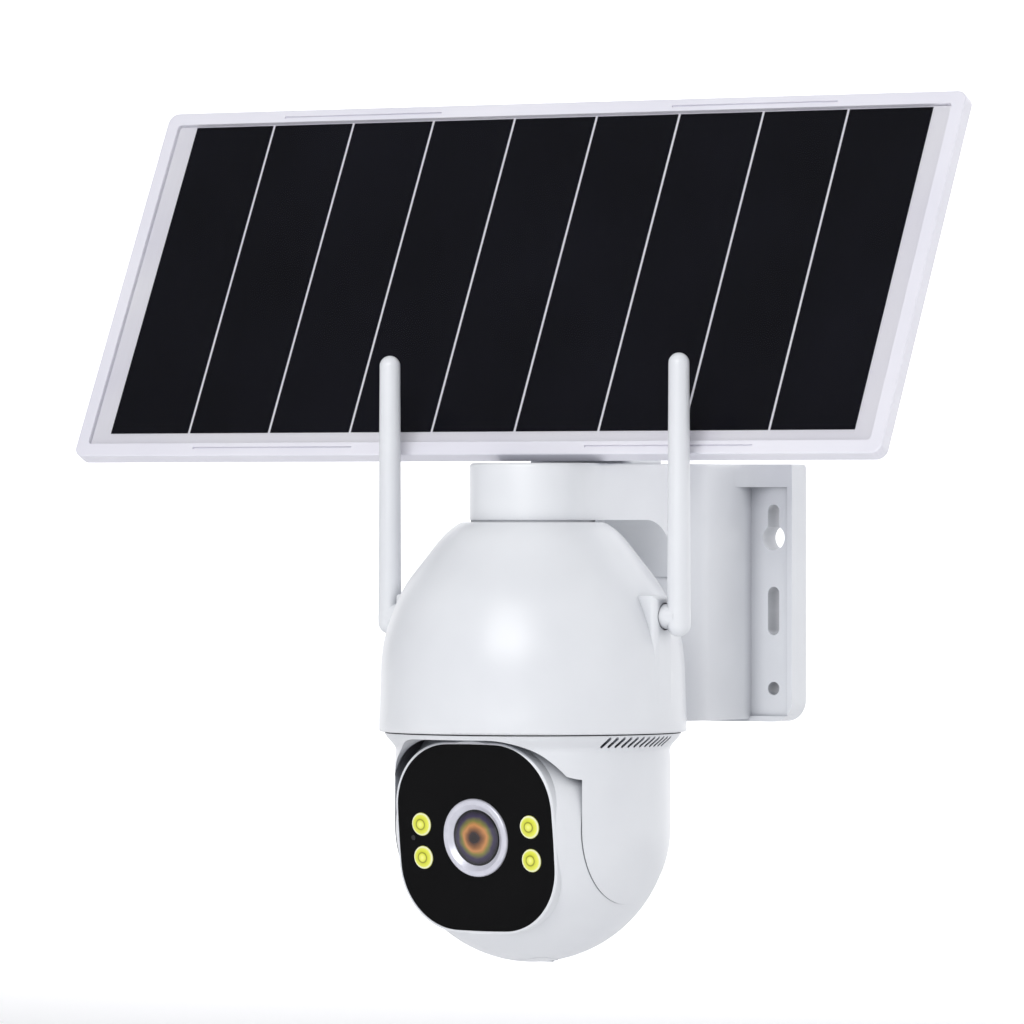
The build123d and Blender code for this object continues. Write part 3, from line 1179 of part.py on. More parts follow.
# ---- every piece --------------------------------------------------------------------
PIECES = {
    "wall_bracket": wall_bracket,
    "bracket_back_cover": bracket_back_cover,
    "bracket_screws": bracket_screws,
    "battery_holder": battery_holder,
    "battery_cells": battery_cells,
    "charge_board": charge_board,
    "cable_gland": cable_gland,
    "dome_housing": dome_housing,
    "neck_seal": neck_seal,
    "dome_deck": dome_deck,
    "dome_screws": dome_screws,
    "main_board": main_board,
    "pan_bush": pan_bush,
    "pan_motor": pan_motor,
    "pan_pinion": pan_pinion,
    "pan_housing": pan_housing,
    "pan_hub": pan_hub,
    "pan_gear": pan_gear,
    "pan_screws": pan_screws,
    "pan_clip": pan_clip,
    "pivot_plates": pivot_plates,
    "tilt_gear": tilt_gear,
    "loudspeaker": loudspeaker,
    "head_shell": head_shell_bored,
    "face_bezel": face_bezel,
    "front_window": front_window,
    "window_seal": window_seal,
    "lens_ring": lens_ring,
    "lens_barrel": lens_barrel,
    "lens_elements": lens_elements,
    "lens_holder": lens_holder,
    "sensor_board": sensor_board,
    "image_sensor": image_sensor,
    "led_board": led_board,
    "board_fixings": board_fixings,
    "led_reflectors": led_reflectors,
    "led_chips": led_chips,
    "light_sensor": light_sensor,
    "head_bushes": head_bushes,
    "tilt_motor": tilt_motor,
    "tilt_motor_bracket": tilt_motor_bracket,
    "tilt_pinion": tilt_pinion,
    "card_door": card_door,
    "card_door_pin": card_door_pin,
    "card_socket": card_socket,
    "reset_button": reset_button,
    "antenna_left": lambda: antenna(-1),
    "antenna_right": lambda: antenna(1),
    "panel_frame": panel_frame,
    "panel_backsheet": panel_backsheet,
    "solar_cells": solar_cells,
    "panel_cover": panel_cover,
    "panel_back_cover": panel_back_cover,
    "junction_box": junction_box,
    "panel_gland": panel_gland,
    "panel_screws": all_panel_screws,
    "hinge_leaf": hinge_leaf,
    "pivot_base": pivot_base,
    "pivot_bolt": pivot_bolt,
    "tilt_knob": tilt_knob,
}

PANNED = ["pan_housing", "pan_hub", "pan_screws", "pan_clip", "pivot_plates", "tilt_gear", "loudspeaker", "head_shell",
          "face_bezel", "front_window", "window_seal", "lens_ring", "lens_barrel", "lens_elements", "lens_holder",
          "sensor_board", "image_sensor", "led_board", "board_fixings", "led_reflectors", "led_chips", "light_sensor",
          "head_bushes", "tilt_motor", "tilt_motor_bracket", "tilt_pinion", "card_door", "card_door_pin", "card_socket",
          "reset_button"]

for node, make in PIECES.items():
    piece = make()
    shapes = piece if isinstance(piece, list) else [piece]
    if node in PANNED:
        shapes = [panned(shape) for shape in shapes]
    save(node, grouped(shapes) if len(shapes) > 1 else shapes[0])
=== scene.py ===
"""Solar-powered security camera: the looks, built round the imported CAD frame."""

import json
import math

import bpy
import numpy as np
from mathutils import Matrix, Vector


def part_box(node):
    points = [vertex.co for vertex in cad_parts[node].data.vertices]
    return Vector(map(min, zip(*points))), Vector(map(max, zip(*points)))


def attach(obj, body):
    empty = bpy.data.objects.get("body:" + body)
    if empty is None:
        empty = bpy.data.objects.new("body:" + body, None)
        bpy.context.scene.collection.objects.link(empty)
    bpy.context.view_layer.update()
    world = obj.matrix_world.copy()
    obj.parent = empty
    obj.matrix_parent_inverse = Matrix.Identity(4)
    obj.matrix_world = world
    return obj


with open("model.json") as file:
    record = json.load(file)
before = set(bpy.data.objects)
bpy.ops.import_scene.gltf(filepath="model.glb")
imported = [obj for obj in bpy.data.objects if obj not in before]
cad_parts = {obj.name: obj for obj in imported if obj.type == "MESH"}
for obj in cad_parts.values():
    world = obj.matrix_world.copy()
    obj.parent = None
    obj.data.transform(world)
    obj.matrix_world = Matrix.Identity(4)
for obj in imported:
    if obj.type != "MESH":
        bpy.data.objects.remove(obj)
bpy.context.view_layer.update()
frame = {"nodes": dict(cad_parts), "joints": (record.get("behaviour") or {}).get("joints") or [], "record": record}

bl_info = {
    "name": "Solar security camera",
    "version": (1, 0, 0),
    "blender": (4, 5, 0),
    "location": "3D View > Sidebar > Camera",
    "description": "Builds the visible pieces and finishes of a solar-powered security camera",
    "category": "Add Mesh",
}

MM = 0.001
DOME_Y = (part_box("dome_housing")[0].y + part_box("dome_housing")[1].y) / 2
RIM_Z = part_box("dome_housing")[0].z
TILT = next(joint for joint in frame["joints"] if joint["name"] == "camera_tilt")
HEAD_DOWN = math.radians(6.0)

WELD_REACH = 0.002 * MM
CREASE_DEGREES = 32
LENS_THICKNESS = 0.15 * MM
LAMP_CAP_THICKNESS = 0.3 * MM

# The studio: the floor's drop under the rim, its near edge, where it starts to rise, the sweep's radius,
# its top and half its width, then the stretch over which the paper's glow grows, and the glow at each end.
FLOOR_DROP, FLOOR_NEAR, SWEEP_START, SWEEP_RADIUS, SWEEP_TOP, SWEEP_HALF = 0.15, -8.0, 3.0, 1.5, 8.0, 9.0
GLOW_FROM, GLOW_TO, GLOW_LOW, GLOW_HIGH = 0.2, 1.2, 0.05, 0.75
SWEEP_STEPS = 16
VIEW_REACH = 50
SKY_COLOUR, SKY_STRENGTH = (0.95, 0.96, 1.0, 1), 0.42
# Each light: name, metres right of the aim, ahead of it and above it, the side of its square, and its watts.
LIGHTS = (
    ("key", -0.7, -1.9, 0.9, 1.3, 25),
    ("fill", 1.8, -0.9, 0.2, 1.2, 1.5),
    ("top", -0.2, -0.3, 1.8, 1.4, 3),
)


# ---- materials ----------------------------------------------------------------------
def linear(hex_colour):
    """An sRGB hex colour as linear RGBA."""
    parts = [int(hex_colour[i:i + 2], 16) / 255 for i in (1, 3, 5)]
    return tuple(c / 12.92 if c <= 0.04045 else ((c + 0.055) / 1.055) ** 2.4 for c in parts) + (1.0,)


def add(tree, kind, settings=None, **links):
    """Add a node, set its fields and plain sockets, and link other sockets to it."""
    node = tree.nodes.new("ShaderNode" + kind)
    for key, value in (settings or {}).items():
        if key in node.inputs:
            node.inputs[key].default_value = value
        else:
            setattr(node, key, value)
    for key, socket in links.items():
        name = key.replace("_", " ")
        target = node.inputs[int(key[1:])] if key[0] == "i" and key[1:].isdigit() else node.inputs[name]
        tree.links.new(socket, target)
    return node


def ramp(tree, fac, stops):
    """A colour ramp with stops of position and hex colour."""
    node = add(tree, "ValToRGB", None, Fac=fac)
    marks = node.color_ramp.elements
    while len(marks) < len(stops):
        marks.new(0.5)
    for mark, (place, colour) in zip(marks, stops):
        mark.position = place
        mark.color = linear(colour)
    return node


def surface(name, shader, colour, bump=None, rough=None, strength=0.1, depth=0.0001):
    """A material round one shader: colour and roughness sockets may be linked, the rest are set."""
    material = bpy.data.materials.new(name)
    material.use_nodes = True
    tree = material.node_tree
    tree.nodes.clear()
    body = add(tree, "BsdfPrincipled", shader)
    place = add(tree, "TexCoord").outputs["Object"]
    tree.links.new(colour(tree, place), body.inputs["Base Color"])
    if rough:
        tree.links.new(rough(tree, place), body.inputs["Roughness"])
    if bump:
        made = add(tree, "Bump", {"Strength": strength, "Distance": depth}, Height=bump(tree, place))
        tree.links.new(made.outputs["Normal"], body.inputs["Normal"])
    out = add(tree, "OutputMaterial")
    tree.links.new(body.outputs["BSDF"], out.inputs["Surface"])
    material.diffuse_color = (0.8, 0.8, 0.8, 1)
    return material


def mottled(low, high, size_mm, detail=3.0):
    """A colour that drifts between two hex values over patches of a real size."""
    def build(tree, place):
        noise = add(tree, "TexNoise", {"Scale": 1000.0 / size_mm, "Detail": detail}, Vector=place)
        return ramp(tree, noise.outputs["Fac"], [(0.3, low), (0.7, high)]).outputs["Color"]
    return build


def grain(size_mm, detail=4.0):
    """A height that varies over grains of a real size."""
    def build(tree, place):
        return add(tree, "TexNoise", {"Scale": 1000.0 / size_mm, "Detail": detail},
                   Vector=place).outputs["Fac"]
    return build


def drifting(low, high, size_mm):
    """A roughness that drifts between two values over patches of a real size."""
    def build(tree, place):
        noise = add(tree, "TexNoise", {"Scale": 1000.0 / size_mm, "Detail": 2.0}, Vector=place)
        spread = add(tree, "MapRange", {"To Min": low, "To Max": high}, Value=noise.outputs["Fac"])
        return spread.outputs["Result"]
    return build


def painted_recess_shade(colour, reach_mm, shade):
    """A colour with painted shade: it darkens towards a shade colour in recesses, by ambient occlusion."""
    def build(tree, place):
        # Painted shade: the colour is multiplied down wherever ambient occlusion finds the surface enclosed.
        cover = add(tree, "AmbientOcclusion", {"Distance": reach_mm * MM, "samples": 8})
        painted_shade = ramp(tree, cover.outputs["AO"], [(0.15, shade), (0.85, "#FFFFFF")])
        return add(tree, "MixRGB", {"blend_type": "MULTIPLY", "Fac": 1.0}, Color1=colour(tree, place),
                   Color2=painted_shade.outputs["Color"]).outputs["Color"]
    return build


def moulded_abs():
    """Injection-moulded ABS: cool white, satin, with a spark-eroded grain that only softens the highlight."""
    shader = {"Roughness": 0.3, "IOR": 1.54, "Specular IOR Level": 0.5, "Coat Weight": 0.12,
              "Coat Roughness": 0.25}
    # Painted shade: the white goes grey in recesses, gaps and holes.
    colour = painted_recess_shade(mottled("#DFE1E5", "#E9EBEE", 60), 9, "#A4A6AC")
    return surface("moulded_satin_abs", shader, colour, grain(0.5), drifting(0.27, 0.36, 25), 0.12, 0.00004)


def moulded_silicone():
    """Moulded silicone of the neck seal: pale grey, soft and matt."""
    return surface("moulded_grey_silicone", {"Roughness": 0.6, "IOR": 1.43},
                   mottled("#A9ABB0", "#B9BBBF", 8), grain(0.6), drifting(0.52, 0.68, 5), 0.2, 0.00004)


def banded(stops, swirl=0.0):
    """A colour in rings: a ramp over the stored distance from the axis, bent a little by noise."""
    def build(tree, place):
        ring = add(tree, "Attribute", {"attribute_name": "ring"}).outputs["Fac"]
        noise = add(tree, "TexNoise", {"Scale": 260.0, "Detail": 1.0}, Vector=place).outputs["Fac"]
        bend = add(tree, "MapRange", {"To Min": -swirl, "To Max": swirl}, Value=noise).outputs["Result"]
        total = add(tree, "Math", {"operation": "ADD"}, i0=ring, i1=bend).outputs["Value"]
        return ramp(tree, total, stops).outputs["Color"]
    return build


def lens_painted_reflections():
    """Front glass with painted reflections of its coating: rings of orange, olive and violet round a dark middle.
    """
    shader = {"Roughness": 0.04, "IOR": 1.6, "Specular IOR Level": 0.5}
    # Painted reflection: the coloured rings stand in for the coloured reflections of the coating.
    bands = [(0.0, "#0D0B10"), (0.2, "#2A1A1C"), (0.36, "#8A5A34"), (0.5, "#C98A52"), (0.64, "#7C7A3C"),
             (0.8, "#3B3350"), (1.0, "#17161B")]
    return surface("front_glass_painted_reflections", shader, banded(bands, 0.08), None, drifting(0.03, 0.06, 4))


def lamp_lens():
    """Clear cap over a lamp: yellow from the gel, a dark ring round the chip, a painted highlight round the edge,
    and a faint painted glow.
    """
    # Painted glow: the faint yellow emission brightens the cap; it is not the lamp's light.
    shader = {"Roughness": 0.15, "IOR": 1.49, "Emission Color": linear("#D9DC46"), "Emission Strength": 0.1}
    # The pale outer stop of the rings is a painted highlight round the cap's edge.
    bands = [(0.0, "#F0F08E"), (0.34, "#DDE04A"), (0.44, "#6E6D2B"), (0.54, "#CDD038"), (0.82, "#E3E65C"),
             (1.0, "#F4F5E4")]
    return surface("moulded_lamp_cap", shader, banded(bands, 0.05), grain(0.5), drifting(0.12, 0.2, 2),
                   0.05, 0.00002)


def panel_abs():
    """Gloss-moulded ABS of the panel: white with a faint lavender cast."""
    shader = {"Roughness": 0.2, "IOR": 1.54, "Coat Weight": 0.3, "Coat Roughness": 0.1}
    return surface("gloss_moulded_abs", shader, mottled("#E2E1EB", "#EEEDF4", 90), grain(1.2),
                   drifting(0.16, 0.26, 40), 0.08, 0.00003)


def dark_abs():
    """Black moulded plastic, fine-textured so that it goes grey at grazing light."""
    shader = {"Roughness": 0.45, "IOR": 1.54}
    return surface("textured_black_abs", shader, mottled("#141416", "#1F2022", 8), grain(0.4),
                   drifting(0.4, 0.55, 6), 0.4, 0.00006)


def window_plastic():
    """Polished black acrylic: deep black with a clear mirror gloss."""
    shader = {"Roughness": 0.06, "IOR": 1.49, "Specular IOR Level": 0.1}
    return surface("polished_black_acrylic", shader, mottled("#020203", "#050506", 30), None,
                   drifting(0.045, 0.09, 18))


def zinc_steel():
    """Zinc-plated steel: bluish grey metal with fine turning marks."""
    def marks(tree, place):
        wave = add(tree, "TexWave", {"Scale": 900.0, "Distortion": 1.5, "bands_direction": "Z"}, Vector=place)
        return wave.outputs["Fac"]
    shader = {"Metallic": 1.0, "Roughness": 0.3}
    return surface("zinc_plated_steel", shader, mottled("#A9ADB2", "#C9CCCF", 3), marks,
                   drifting(0.24, 0.4, 2), 0.15, 0.00003)


def motor_plate():
    """Pressed nickel-plated steel of the motor cans, with soft blotches."""
    shader = {"Metallic": 1.0, "Roughness": 0.34}
    return surface("pressed_nickel_plate", shader, mottled("#A7A9AB", "#BFC1C2", 10), grain(2),
                   drifting(0.28, 0.45, 7), 0.1, 0.00005)


def moulded_rubber():
    """Moulded rubber: matt, dark and faintly dusty."""
    return surface("moulded_rubber", {"Roughness": 0.8, "IOR": 1.52}, mottled("#17171A", "#26262A", 5),
                   grain(0.6), drifting(0.7, 0.9, 4), 0.3, 0.00005)


def solder_mask(name, low, high):
    """Glass-fibre board under solder mask, with copper tracks that raise it in straight runs."""
    def tracks(tree, place):
        brick = add(tree, "TexBrick", {"Scale": 260.0, "Mortar Size": 0.012, "Color1": (0, 0, 0, 1),
                                       "Color2": (0, 0, 0, 1), "Mortar": (1, 1, 1, 1)}, Vector=place)
        return brick.outputs["Color"]
    return surface(name, {"Roughness": 0.35, "IOR": 1.5}, mottled(low, high, 6), tracks,
                   drifting(0.3, 0.45, 9), 0.5, 0.0001)


def natural_acetal():
    """Natural acetal: milky off-white, waxy and slightly translucent."""
    shader = {"Roughness": 0.38, "IOR": 1.48, "Subsurface Weight": 0.1, "Subsurface Scale": 0.001}
    return surface("machined_natural_acetal", shader, mottled("#E2E1D8", "#EFEEE7", 12), grain(1),
                   drifting(0.33, 0.45, 6), 0.1, 0.00003)


def shrink_wrap():
    """Blue shrink wrap on the cells: thin glossy film with slight ripples."""
    return surface("heat_shrunk_pvc_film", {"Roughness": 0.2, "IOR": 1.53},
                   mottled("#1D5C93", "#2A74AE", 14), grain(5), drifting(0.15, 0.28, 10), 0.3, 0.0002)


def silicon_cell():
    """Coated monocrystalline silicon: near black, slightly blue, with fine printed lines raised across it."""
    def colour(tree, place):
        noise = add(tree, "TexNoise", {"Scale": 16.0, "Detail": 3.0}, Vector=place)
        return ramp(tree, noise.outputs["Fac"], [(0.3, "#08080D"), (0.7, "#0E0E15")]).outputs["Color"]

    def lines(tree, place):
        wave = add(tree, "TexWave", {"Scale": 55.0, "bands_direction": "Z"}, Vector=place)
        return wave.outputs["Fac"]
    return surface("coated_monocrystalline_silicon",
                   {"Roughness": 0.3, "IOR": 1.4, "Specular IOR Level": 0.1}, colour, lines,
                   drifting(0.25, 0.38, 30), 0.03, 0.00003)


def laminate_back():
    """White laminate sheet behind the cells: matt and even."""
    return surface("white_laminate_backsheet", {"Roughness": 0.5, "IOR": 1.45},
                   mottled("#ECEAF4", "#F6F5FA", 50), grain(2), drifting(0.45, 0.6, 20), 0.05, 0.00003)


def clear_laminate():
    """Clear laminated sheet: almost invisible, with a soft gloss."""
    return surface("clear_laminate_sheet", {"Roughness": 0.12, "IOR": 1.49, "Alpha": 0.07},
                   mottled("#17171F", "#20202A", 40), grain(3), drifting(0.1, 0.16, 30), 0.05, 0.00003)


def anodised_ring():
    """Satin-anodised aluminium: bright, almost white metal with concentric turning marks."""
    shader = {"Metallic": 0.3, "Roughness": 0.35}
    return surface("satin_anodised_aluminium", shader, mottled("#D3D3DE", "#DEDEE8", 4), grain(0.4),
                   drifting(0.3, 0.4, 3), 0.03, 0.00003)


def coated_glass():
    """Multi-coated lens glass: clear, with a faint violet and green film."""
    shader = {"Roughness": 0.02, "IOR": 1.6, "Alpha": 0.25, "Thin Film Thickness": 380.0,
              "Thin Film IOR": 1.38}
    return surface("multi_coated_lens_glass", shader, mottled("#8C8A96", "#B4A9B8", 6), None,
                   drifting(0.015, 0.03, 5))


def lamp_reflector():
    """Metallised yellow reflector cup: bright yellow-green with soft gloss, and a faint painted glow."""
    # Painted glow: the faint yellow emission brightens the cup; a reflector gives no light of its own.
    shader = {"Metallic": 0.25, "Roughness": 0.22, "Emission Color": linear("#D9DC46"),
              "Emission Strength": 0.12}
    return surface("metallised_yellow_reflector", shader, mottled("#D2D53C", "#E6E96E", 2), grain(0.8),
                   drifting(0.18, 0.3, 2), 0.1, 0.00003)


def lamp_phosphor():
    """Lamp chip under yellow phosphor gel: matt amber-grey."""
    return surface("phosphor_gel", {"Roughness": 0.35, "IOR": 1.5}, mottled("#7F7B34", "#A39E45", 1),
                   grain(0.5), drifting(0.3, 0.45, 1), 0.2, 0.00003)


FINISHES = {
    "white_abs": moulded_abs,
    "panel_white": panel_abs,
    "clear_sheet": clear_laminate,
    "backsheet": laminate_back,
    "silicon": silicon_cell,
    "steel": zinc_steel,
    "motor_steel": motor_plate,
    "rubber": moulded_rubber,
    "seal_grey": moulded_silicone,
    "board_green": lambda: solder_mask("green_solder_mask", "#0F4A26", "#17612F"),
    "board_white": lambda: solder_mask("white_solder_mask", "#DADBD6", "#ECECE8"),
    "cell_wrap": shrink_wrap,
    "black_abs": dark_abs,
    "window_black": window_plastic,
    "acetal": natural_acetal,
    "ring_silver": anodised_ring,
    "lens_glass": coated_glass,
    "reflector": lamp_reflector,
    "lamp_chip": lamp_phosphor,
    "chip_dark": lambda: solder_mask("moulded_epoxy_chip", "#131316", "#202024"),
}
MADE = {}


def finish_of(slot):
    """The material of a slot, made once."""
    if slot not in MADE:
        MADE[slot] = FINISHES[slot]()
    return MADE[slot]


def round_shading(obj):
    """Smooth shading with creases: weld the triangles, then split the edges sharper than the crease angle."""
    obj.data.polygons.foreach_set("use_smooth", [True] * len(obj.data.polygons))
    weld = obj.modifiers.new("weld", "WELD")
    weld.merge_threshold = WELD_REACH
    split = obj.modifiers.new("creases", "EDGE_SPLIT")
    split.split_angle = math.radians(CREASE_DEGREES)
    split.use_edge_sharp = False


# ---- shapes -------------------------------------------------------------------------
def on_head(points):
    """Place points given with the lens axis along -Y and the tilt axis at the origin: they are turned about X
    by the head's rest angle, then about Z by the pan's rest angle, then moved to the tilt axis."""
    pan = math.atan2(TILT["axis"][1], TILT["axis"][0])
    down = np.array([[1, 0, 0], [0, math.cos(HEAD_DOWN), -math.sin(HEAD_DOWN)],
                     [0, math.sin(HEAD_DOWN), math.cos(HEAD_DOWN)]])
    turn = np.array([[math.cos(pan), -math.sin(pan), 0], [math.sin(pan), math.cos(pan), 0], [0, 0, 1]])
    return points @ (turn @ down).T + np.array(TILT["pos_m"])


def cap(centres, radius, front, back, bulge, rings=14, steps=64):
    """Domed discs facing -Y. The front is a parabola's arc that rises by bulge on the axis:
    depth = front - bulge * (1 - (r / radius) ** 2). A straight rim joins it to a flat back."""
    share = np.linspace(0, 1, rings)[1:]
    profile_r = np.concatenate([share, [1.0], share[-2::-4]]) * radius
    depth_front = front - bulge * (1 - share ** 2)
    profile_y = np.concatenate([depth_front, np.full(len(profile_r) - len(share), back)])
    angle = np.linspace(0, 2 * math.pi, steps, endpoint=False)
    rows = len(profile_r)
    ringed = np.stack([profile_r[:, None] * np.cos(angle), np.repeat(profile_y[:, None], steps, 1),
                       profile_r[:, None] * np.sin(angle)], 2).reshape(-1, 3)
    poles = np.array([[0, front - bulge, 0], [0, back, 0]])
    one = np.concatenate([ringed, poles])
    here = np.arange(steps)
    after = (here + 1) % steps
    row = np.arange(rows - 1)[:, None] * steps
    quads = np.stack([row + here, row + after, row + steps + after, row + steps + here], 2).reshape(-1, 4)
    first = np.stack([np.full(steps, rows * steps), after, here], 1)
    last = np.stack([np.full(steps, rows * steps + 1), (rows - 1) * steps + here,
                     (rows - 1) * steps + after], 1)
    shift = (np.arange(len(centres)) * len(one))[:, None, None]
    middle = np.array([[x, 0, z] for x, z in centres])
    points = (one[None] + middle[:, None]).reshape(-1, 3)
    fours = (quads[None] + shift).reshape(-1, 4)
    threes = (np.stack([first, last])[None].reshape(1, -1, 3) + shift).reshape(-1, 3)
    ring = np.tile(np.concatenate([np.repeat(profile_r / radius, steps), [0, 0]]), len(centres))
    return points, fours.tolist() + threes.tolist(), ring


def head_piece(name, centres, radius, front, back, bulge, finish):
    """Make a piece of one or more domed discs on the camera's face, riding on the head."""
    points, faces, ring = cap(centres, radius, front, back, bulge)
    mesh = bpy.data.meshes.new(name)
    mesh.from_pydata(on_head(points).tolist(), [], faces)
    stored = mesh.attributes.new("ring", "FLOAT", "POINT")
    stored.data.foreach_set("value", ring)
    mesh.materials.append(finish)
    obj = bpy.data.objects.new(name, mesh)
    bpy.context.scene.collection.objects.link(obj)
    round_shading(obj)
    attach(obj, "camera_head")
    return obj


# ---- settings -----------------------------------------------------------------------
class LensGlass(bpy.types.PropertyGroup):
    """The coated front glass of the lens."""

    radius: bpy.props.FloatProperty(name="Radius", description="Radius of the glass", default=0.0097,
                                    unit="LENGTH")
    front: bpy.props.FloatProperty(name="Front", description="From the tilt axis to the glass's edge",
                                   default=0.0349, unit="LENGTH")
    bulge: bpy.props.FloatProperty(name="Bulge", description="Height of the dome", default=0.0012,
                                   unit="LENGTH")


class LampCaps(bpy.types.PropertyGroup):
    """The four clear caps over the lamps."""

    radius: bpy.props.FloatProperty(name="Radius", description="Radius of a cap", default=0.00405,
                                    unit="LENGTH")
    front: bpy.props.FloatProperty(name="Front", description="From the tilt axis to a cap's edge",
                                   default=0.0354, unit="LENGTH")
    bulge: bpy.props.FloatProperty(name="Bulge", description="Height of the dome", default=0.0007,
                                   unit="LENGTH")
    side: bpy.props.FloatProperty(name="To the side", description="From the lens axis to a cap",
                                  default=0.0241, unit="LENGTH")
    high: bpy.props.FloatProperty(name="High", description="Height of the upper caps", default=0.0044,
                                  unit="LENGTH")
    low: bpy.props.FloatProperty(name="Low", description="Height of the lower caps", default=-0.0077,
                                 unit="LENGTH")


class CameraStage(bpy.types.PropertyGroup):
    """The view and the light."""

    azimuth: bpy.props.FloatProperty(name="Azimuth", description="Turn of the view round the object",
                                     default=31.0)
    distance: bpy.props.FloatProperty(name="Distance",
                                      description="From the view point to the dome's axis", default=3.0,
                                      unit="LENGTH")
    lens: bpy.props.FloatProperty(name="Lens", description="Focal length in millimetres", default=290.0)
    rise: bpy.props.FloatProperty(name="Rise", description="Upward tilt of the view in degrees", default=0.0)
    aim_side: bpy.props.FloatProperty(name="Aim to the side",
                                      description="From the dome's axis to the picture's centre",
                                      default=-0.0076, unit="LENGTH")
    aim_height: bpy.props.FloatProperty(name="Aim height", description="Height of the picture's centre",
                                        default=0.0302, unit="LENGTH")


# ---- operators ----------------------------------------------------------------------
class OBJECT_OT_stage(bpy.types.Operator):
    """Camera, floor, backdrop and soft studio lights."""

    bl_idname = "object.solar_camera_stage"
    bl_label = "Stage"

    def execute(self, context):
        settings = context.scene.camera_stage
        turn = math.radians(settings.azimuth)
        side = np.array([math.cos(turn), math.sin(turn), 0])
        ahead = np.array([-math.sin(turn), math.cos(turn), 0])
        aim = np.array([0, DOME_Y, settings.aim_height]) + side * settings.aim_side
        rise = math.radians(settings.rise)
        drop = np.array([0, 0, settings.distance * math.sin(rise)])
        place = aim - ahead * settings.distance * math.cos(rise) - drop
        data = bpy.data.cameras.new("view")
        data.lens = settings.lens
        data.clip_end = VIEW_REACH
        camera = bpy.data.objects.new("view", data)
        camera.location = place
        camera.rotation_euler = (math.pi / 2 + rise, 0, turn)
        context.scene.collection.objects.link(camera)
        context.scene.camera = camera
        context.scene.view_settings.view_transform = "Standard"
        self.floor(context)
        self.lights(context, aim, side, ahead)
        return {"FINISHED"}

    def floor(self, context):
        """A wide pale floor that sweeps up behind the object: a quarter circle between two flats."""
        mesh = bpy.data.meshes.new("stage_sweep")
        turn = np.linspace(0, math.pi / 2, SWEEP_STEPS)
        run = np.concatenate([[FLOOR_NEAR], SWEEP_START + SWEEP_RADIUS * np.sin(turn),
                              [SWEEP_START + SWEEP_RADIUS]])
        rise = np.concatenate([[0.0], SWEEP_RADIUS * (1 - np.cos(turn)), [SWEEP_TOP]]) + RIM_Z - FLOOR_DROP
        count = len(run)
        points = np.zeros((2, count, 3))
        points[:, :, 0] = np.array([-SWEEP_HALF, SWEEP_HALF])[:, None]
        points[:, :, 1] = run
        points[:, :, 2] = rise
        first = np.arange(count - 1)
        faces = np.stack([first, first + count, first + count + 1, first + 1], 1)
        mesh.from_pydata(points.reshape(-1, 3).tolist(), [], faces.tolist())
        mesh.polygons.foreach_set("use_smooth", [True] * len(mesh.polygons))
        sweep = bpy.data.objects.new("stage_sweep", mesh)
        paper = surface("matt_backdrop_paper", {"Roughness": 0.9, "Emission Color": (1, 1, 1, 1)},
                        mottled("#F2F2F3", "#F6F6F7", 400), grain(2), None, 0.02, 0.0001)
        tree = paper.node_tree
        split = add(tree, "SeparateXYZ", None, Vector=add(tree, "TexCoord").outputs["Object"])
        glow = add(tree, "MapRange", {"From Min": GLOW_FROM, "From Max": GLOW_TO, "To Min": GLOW_LOW,
                                      "To Max": GLOW_HIGH}, Value=split.outputs["Y"])
        tree.links.new(glow.outputs["Result"], tree.nodes["Principled BSDF"].inputs["Emission Strength"])
        mesh.materials.append(paper)
        context.scene.collection.objects.link(sweep)

    def lights(self, context, aim, side, ahead):
        """A large key light on the left, a fill on the right, one above, and an even pale sky."""
        world = bpy.data.worlds.new("studio")
        world.use_nodes = True
        world.node_tree.nodes["Background"].inputs["Color"].default_value = SKY_COLOUR
        world.node_tree.nodes["Background"].inputs["Strength"].default_value = SKY_STRENGTH
        context.scene.world = world
        for name, right, forward, up, size, power in LIGHTS:
            data = bpy.data.lights.new(name, "AREA")
            data.size = size
            data.energy = power
            light = bpy.data.objects.new(name, data)
            place = aim + side * right + ahead * forward + np.array([0, 0, up])
            light.location = place
            direction = aim - place
            light.rotation_euler = (math.acos(-direction[2] / np.linalg.norm(direction)), 0,
                                    math.atan2(direction[1], direction[0]) - math.pi / 2)
            context.scene.collection.objects.link(light)


class OBJECT_OT_lens_glass(bpy.types.Operator):
    """The coated front glass of the lens."""

    bl_idname = "object.solar_camera_lens"
    bl_label = "Lens glass"

    def execute(self, context):
        lens = context.scene.lens_glass
        glass = head_piece("lens_front_glass", [(0.0, 0.0)], lens.radius, -lens.front,
                           -lens.front + LENS_THICKNESS, lens.bulge, lens_painted_reflections())
        return {"FINISHED"}


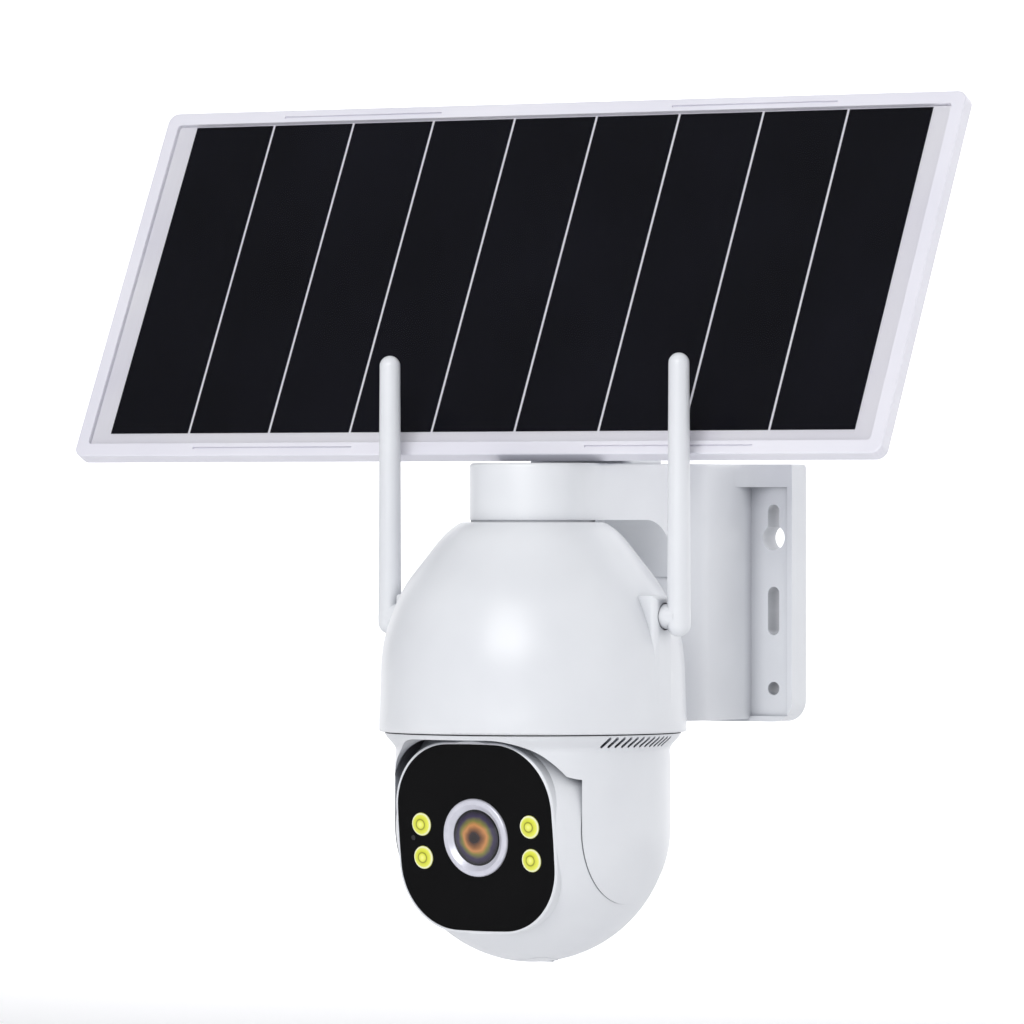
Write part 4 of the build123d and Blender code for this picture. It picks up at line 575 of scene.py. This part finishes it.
class OBJECT_OT_lamp_caps(bpy.types.Operator):
    """Four clear caps over the lamps, two on each side of the lens."""

    bl_idname = "object.solar_camera_lamps"
    bl_label = "Lamp caps"

    def execute(self, context):
        caps = context.scene.lamp_caps
        centres = [(x, z) for x in (-caps.side, caps.side) for z in (caps.high, caps.low)]
        lamps = head_piece("lamp_caps", centres, caps.radius, -caps.front,
                           -caps.front + LAMP_CAP_THICKNESS, caps.bulge, lamp_lens())
        return {"FINISHED"}


class OBJECT_OT_cad_finishes(bpy.types.Operator):
    """Give every carried-over piece its material and its shading."""

    bl_idname = "object.solar_camera_finishes"
    bl_label = "Finishes"

    def execute(self, context):
        slots = {row["node"]: row["material_slot"] for row in frame["record"]["subparts"]}
        for name, obj in frame["nodes"].items():
            obj.data.materials.clear()
            obj.data.materials.append(finish_of(slots[name]))
            round_shading(obj)
        return {"FINISHED"}


class VIEW3D_PT_solar_camera(bpy.types.Panel):
    """Settings and build steps of the security camera."""

    bl_label = "Solar security camera"
    bl_idname = "VIEW3D_PT_solar_camera"
    bl_space_type = "VIEW_3D"
    bl_region_type = "UI"
    bl_category = "Camera"

    def draw(self, context):
        for group in ("camera_stage", "lens_glass", "lamp_caps"):
            settings = getattr(context.scene, group)
            for name in settings.__annotations__:
                self.layout.prop(settings, name)
        for step in STEPS:
            self.layout.operator(step.bl_idname)


STEPS = (OBJECT_OT_stage, OBJECT_OT_cad_finishes, OBJECT_OT_lens_glass, OBJECT_OT_lamp_caps)
GROUPS = (CameraStage, LensGlass, LampCaps)


def register():
    """Register the classes and hang the settings on the scene."""
    for cls in GROUPS + STEPS + (VIEW3D_PT_solar_camera,):
        bpy.utils.register_class(cls)
    bpy.types.Scene.camera_stage = bpy.props.PointerProperty(type=CameraStage)
    bpy.types.Scene.lens_glass = bpy.props.PointerProperty(type=LensGlass)
    bpy.types.Scene.lamp_caps = bpy.props.PointerProperty(type=LampCaps)


def unregister():
    """Undo register."""
    for name in ("camera_stage", "lens_glass", "lamp_caps"):
        delattr(bpy.types.Scene, name)
    for cls in reversed(GROUPS + STEPS + (VIEW3D_PT_solar_camera,)):
        bpy.utils.unregister_class(cls)


def main():
    """Build everything in order."""
    register()
    for step in STEPS:
        group, name = step.bl_idname.split(".")
        getattr(getattr(bpy.ops, group), name)()


if __name__ == "__main__":
    main()
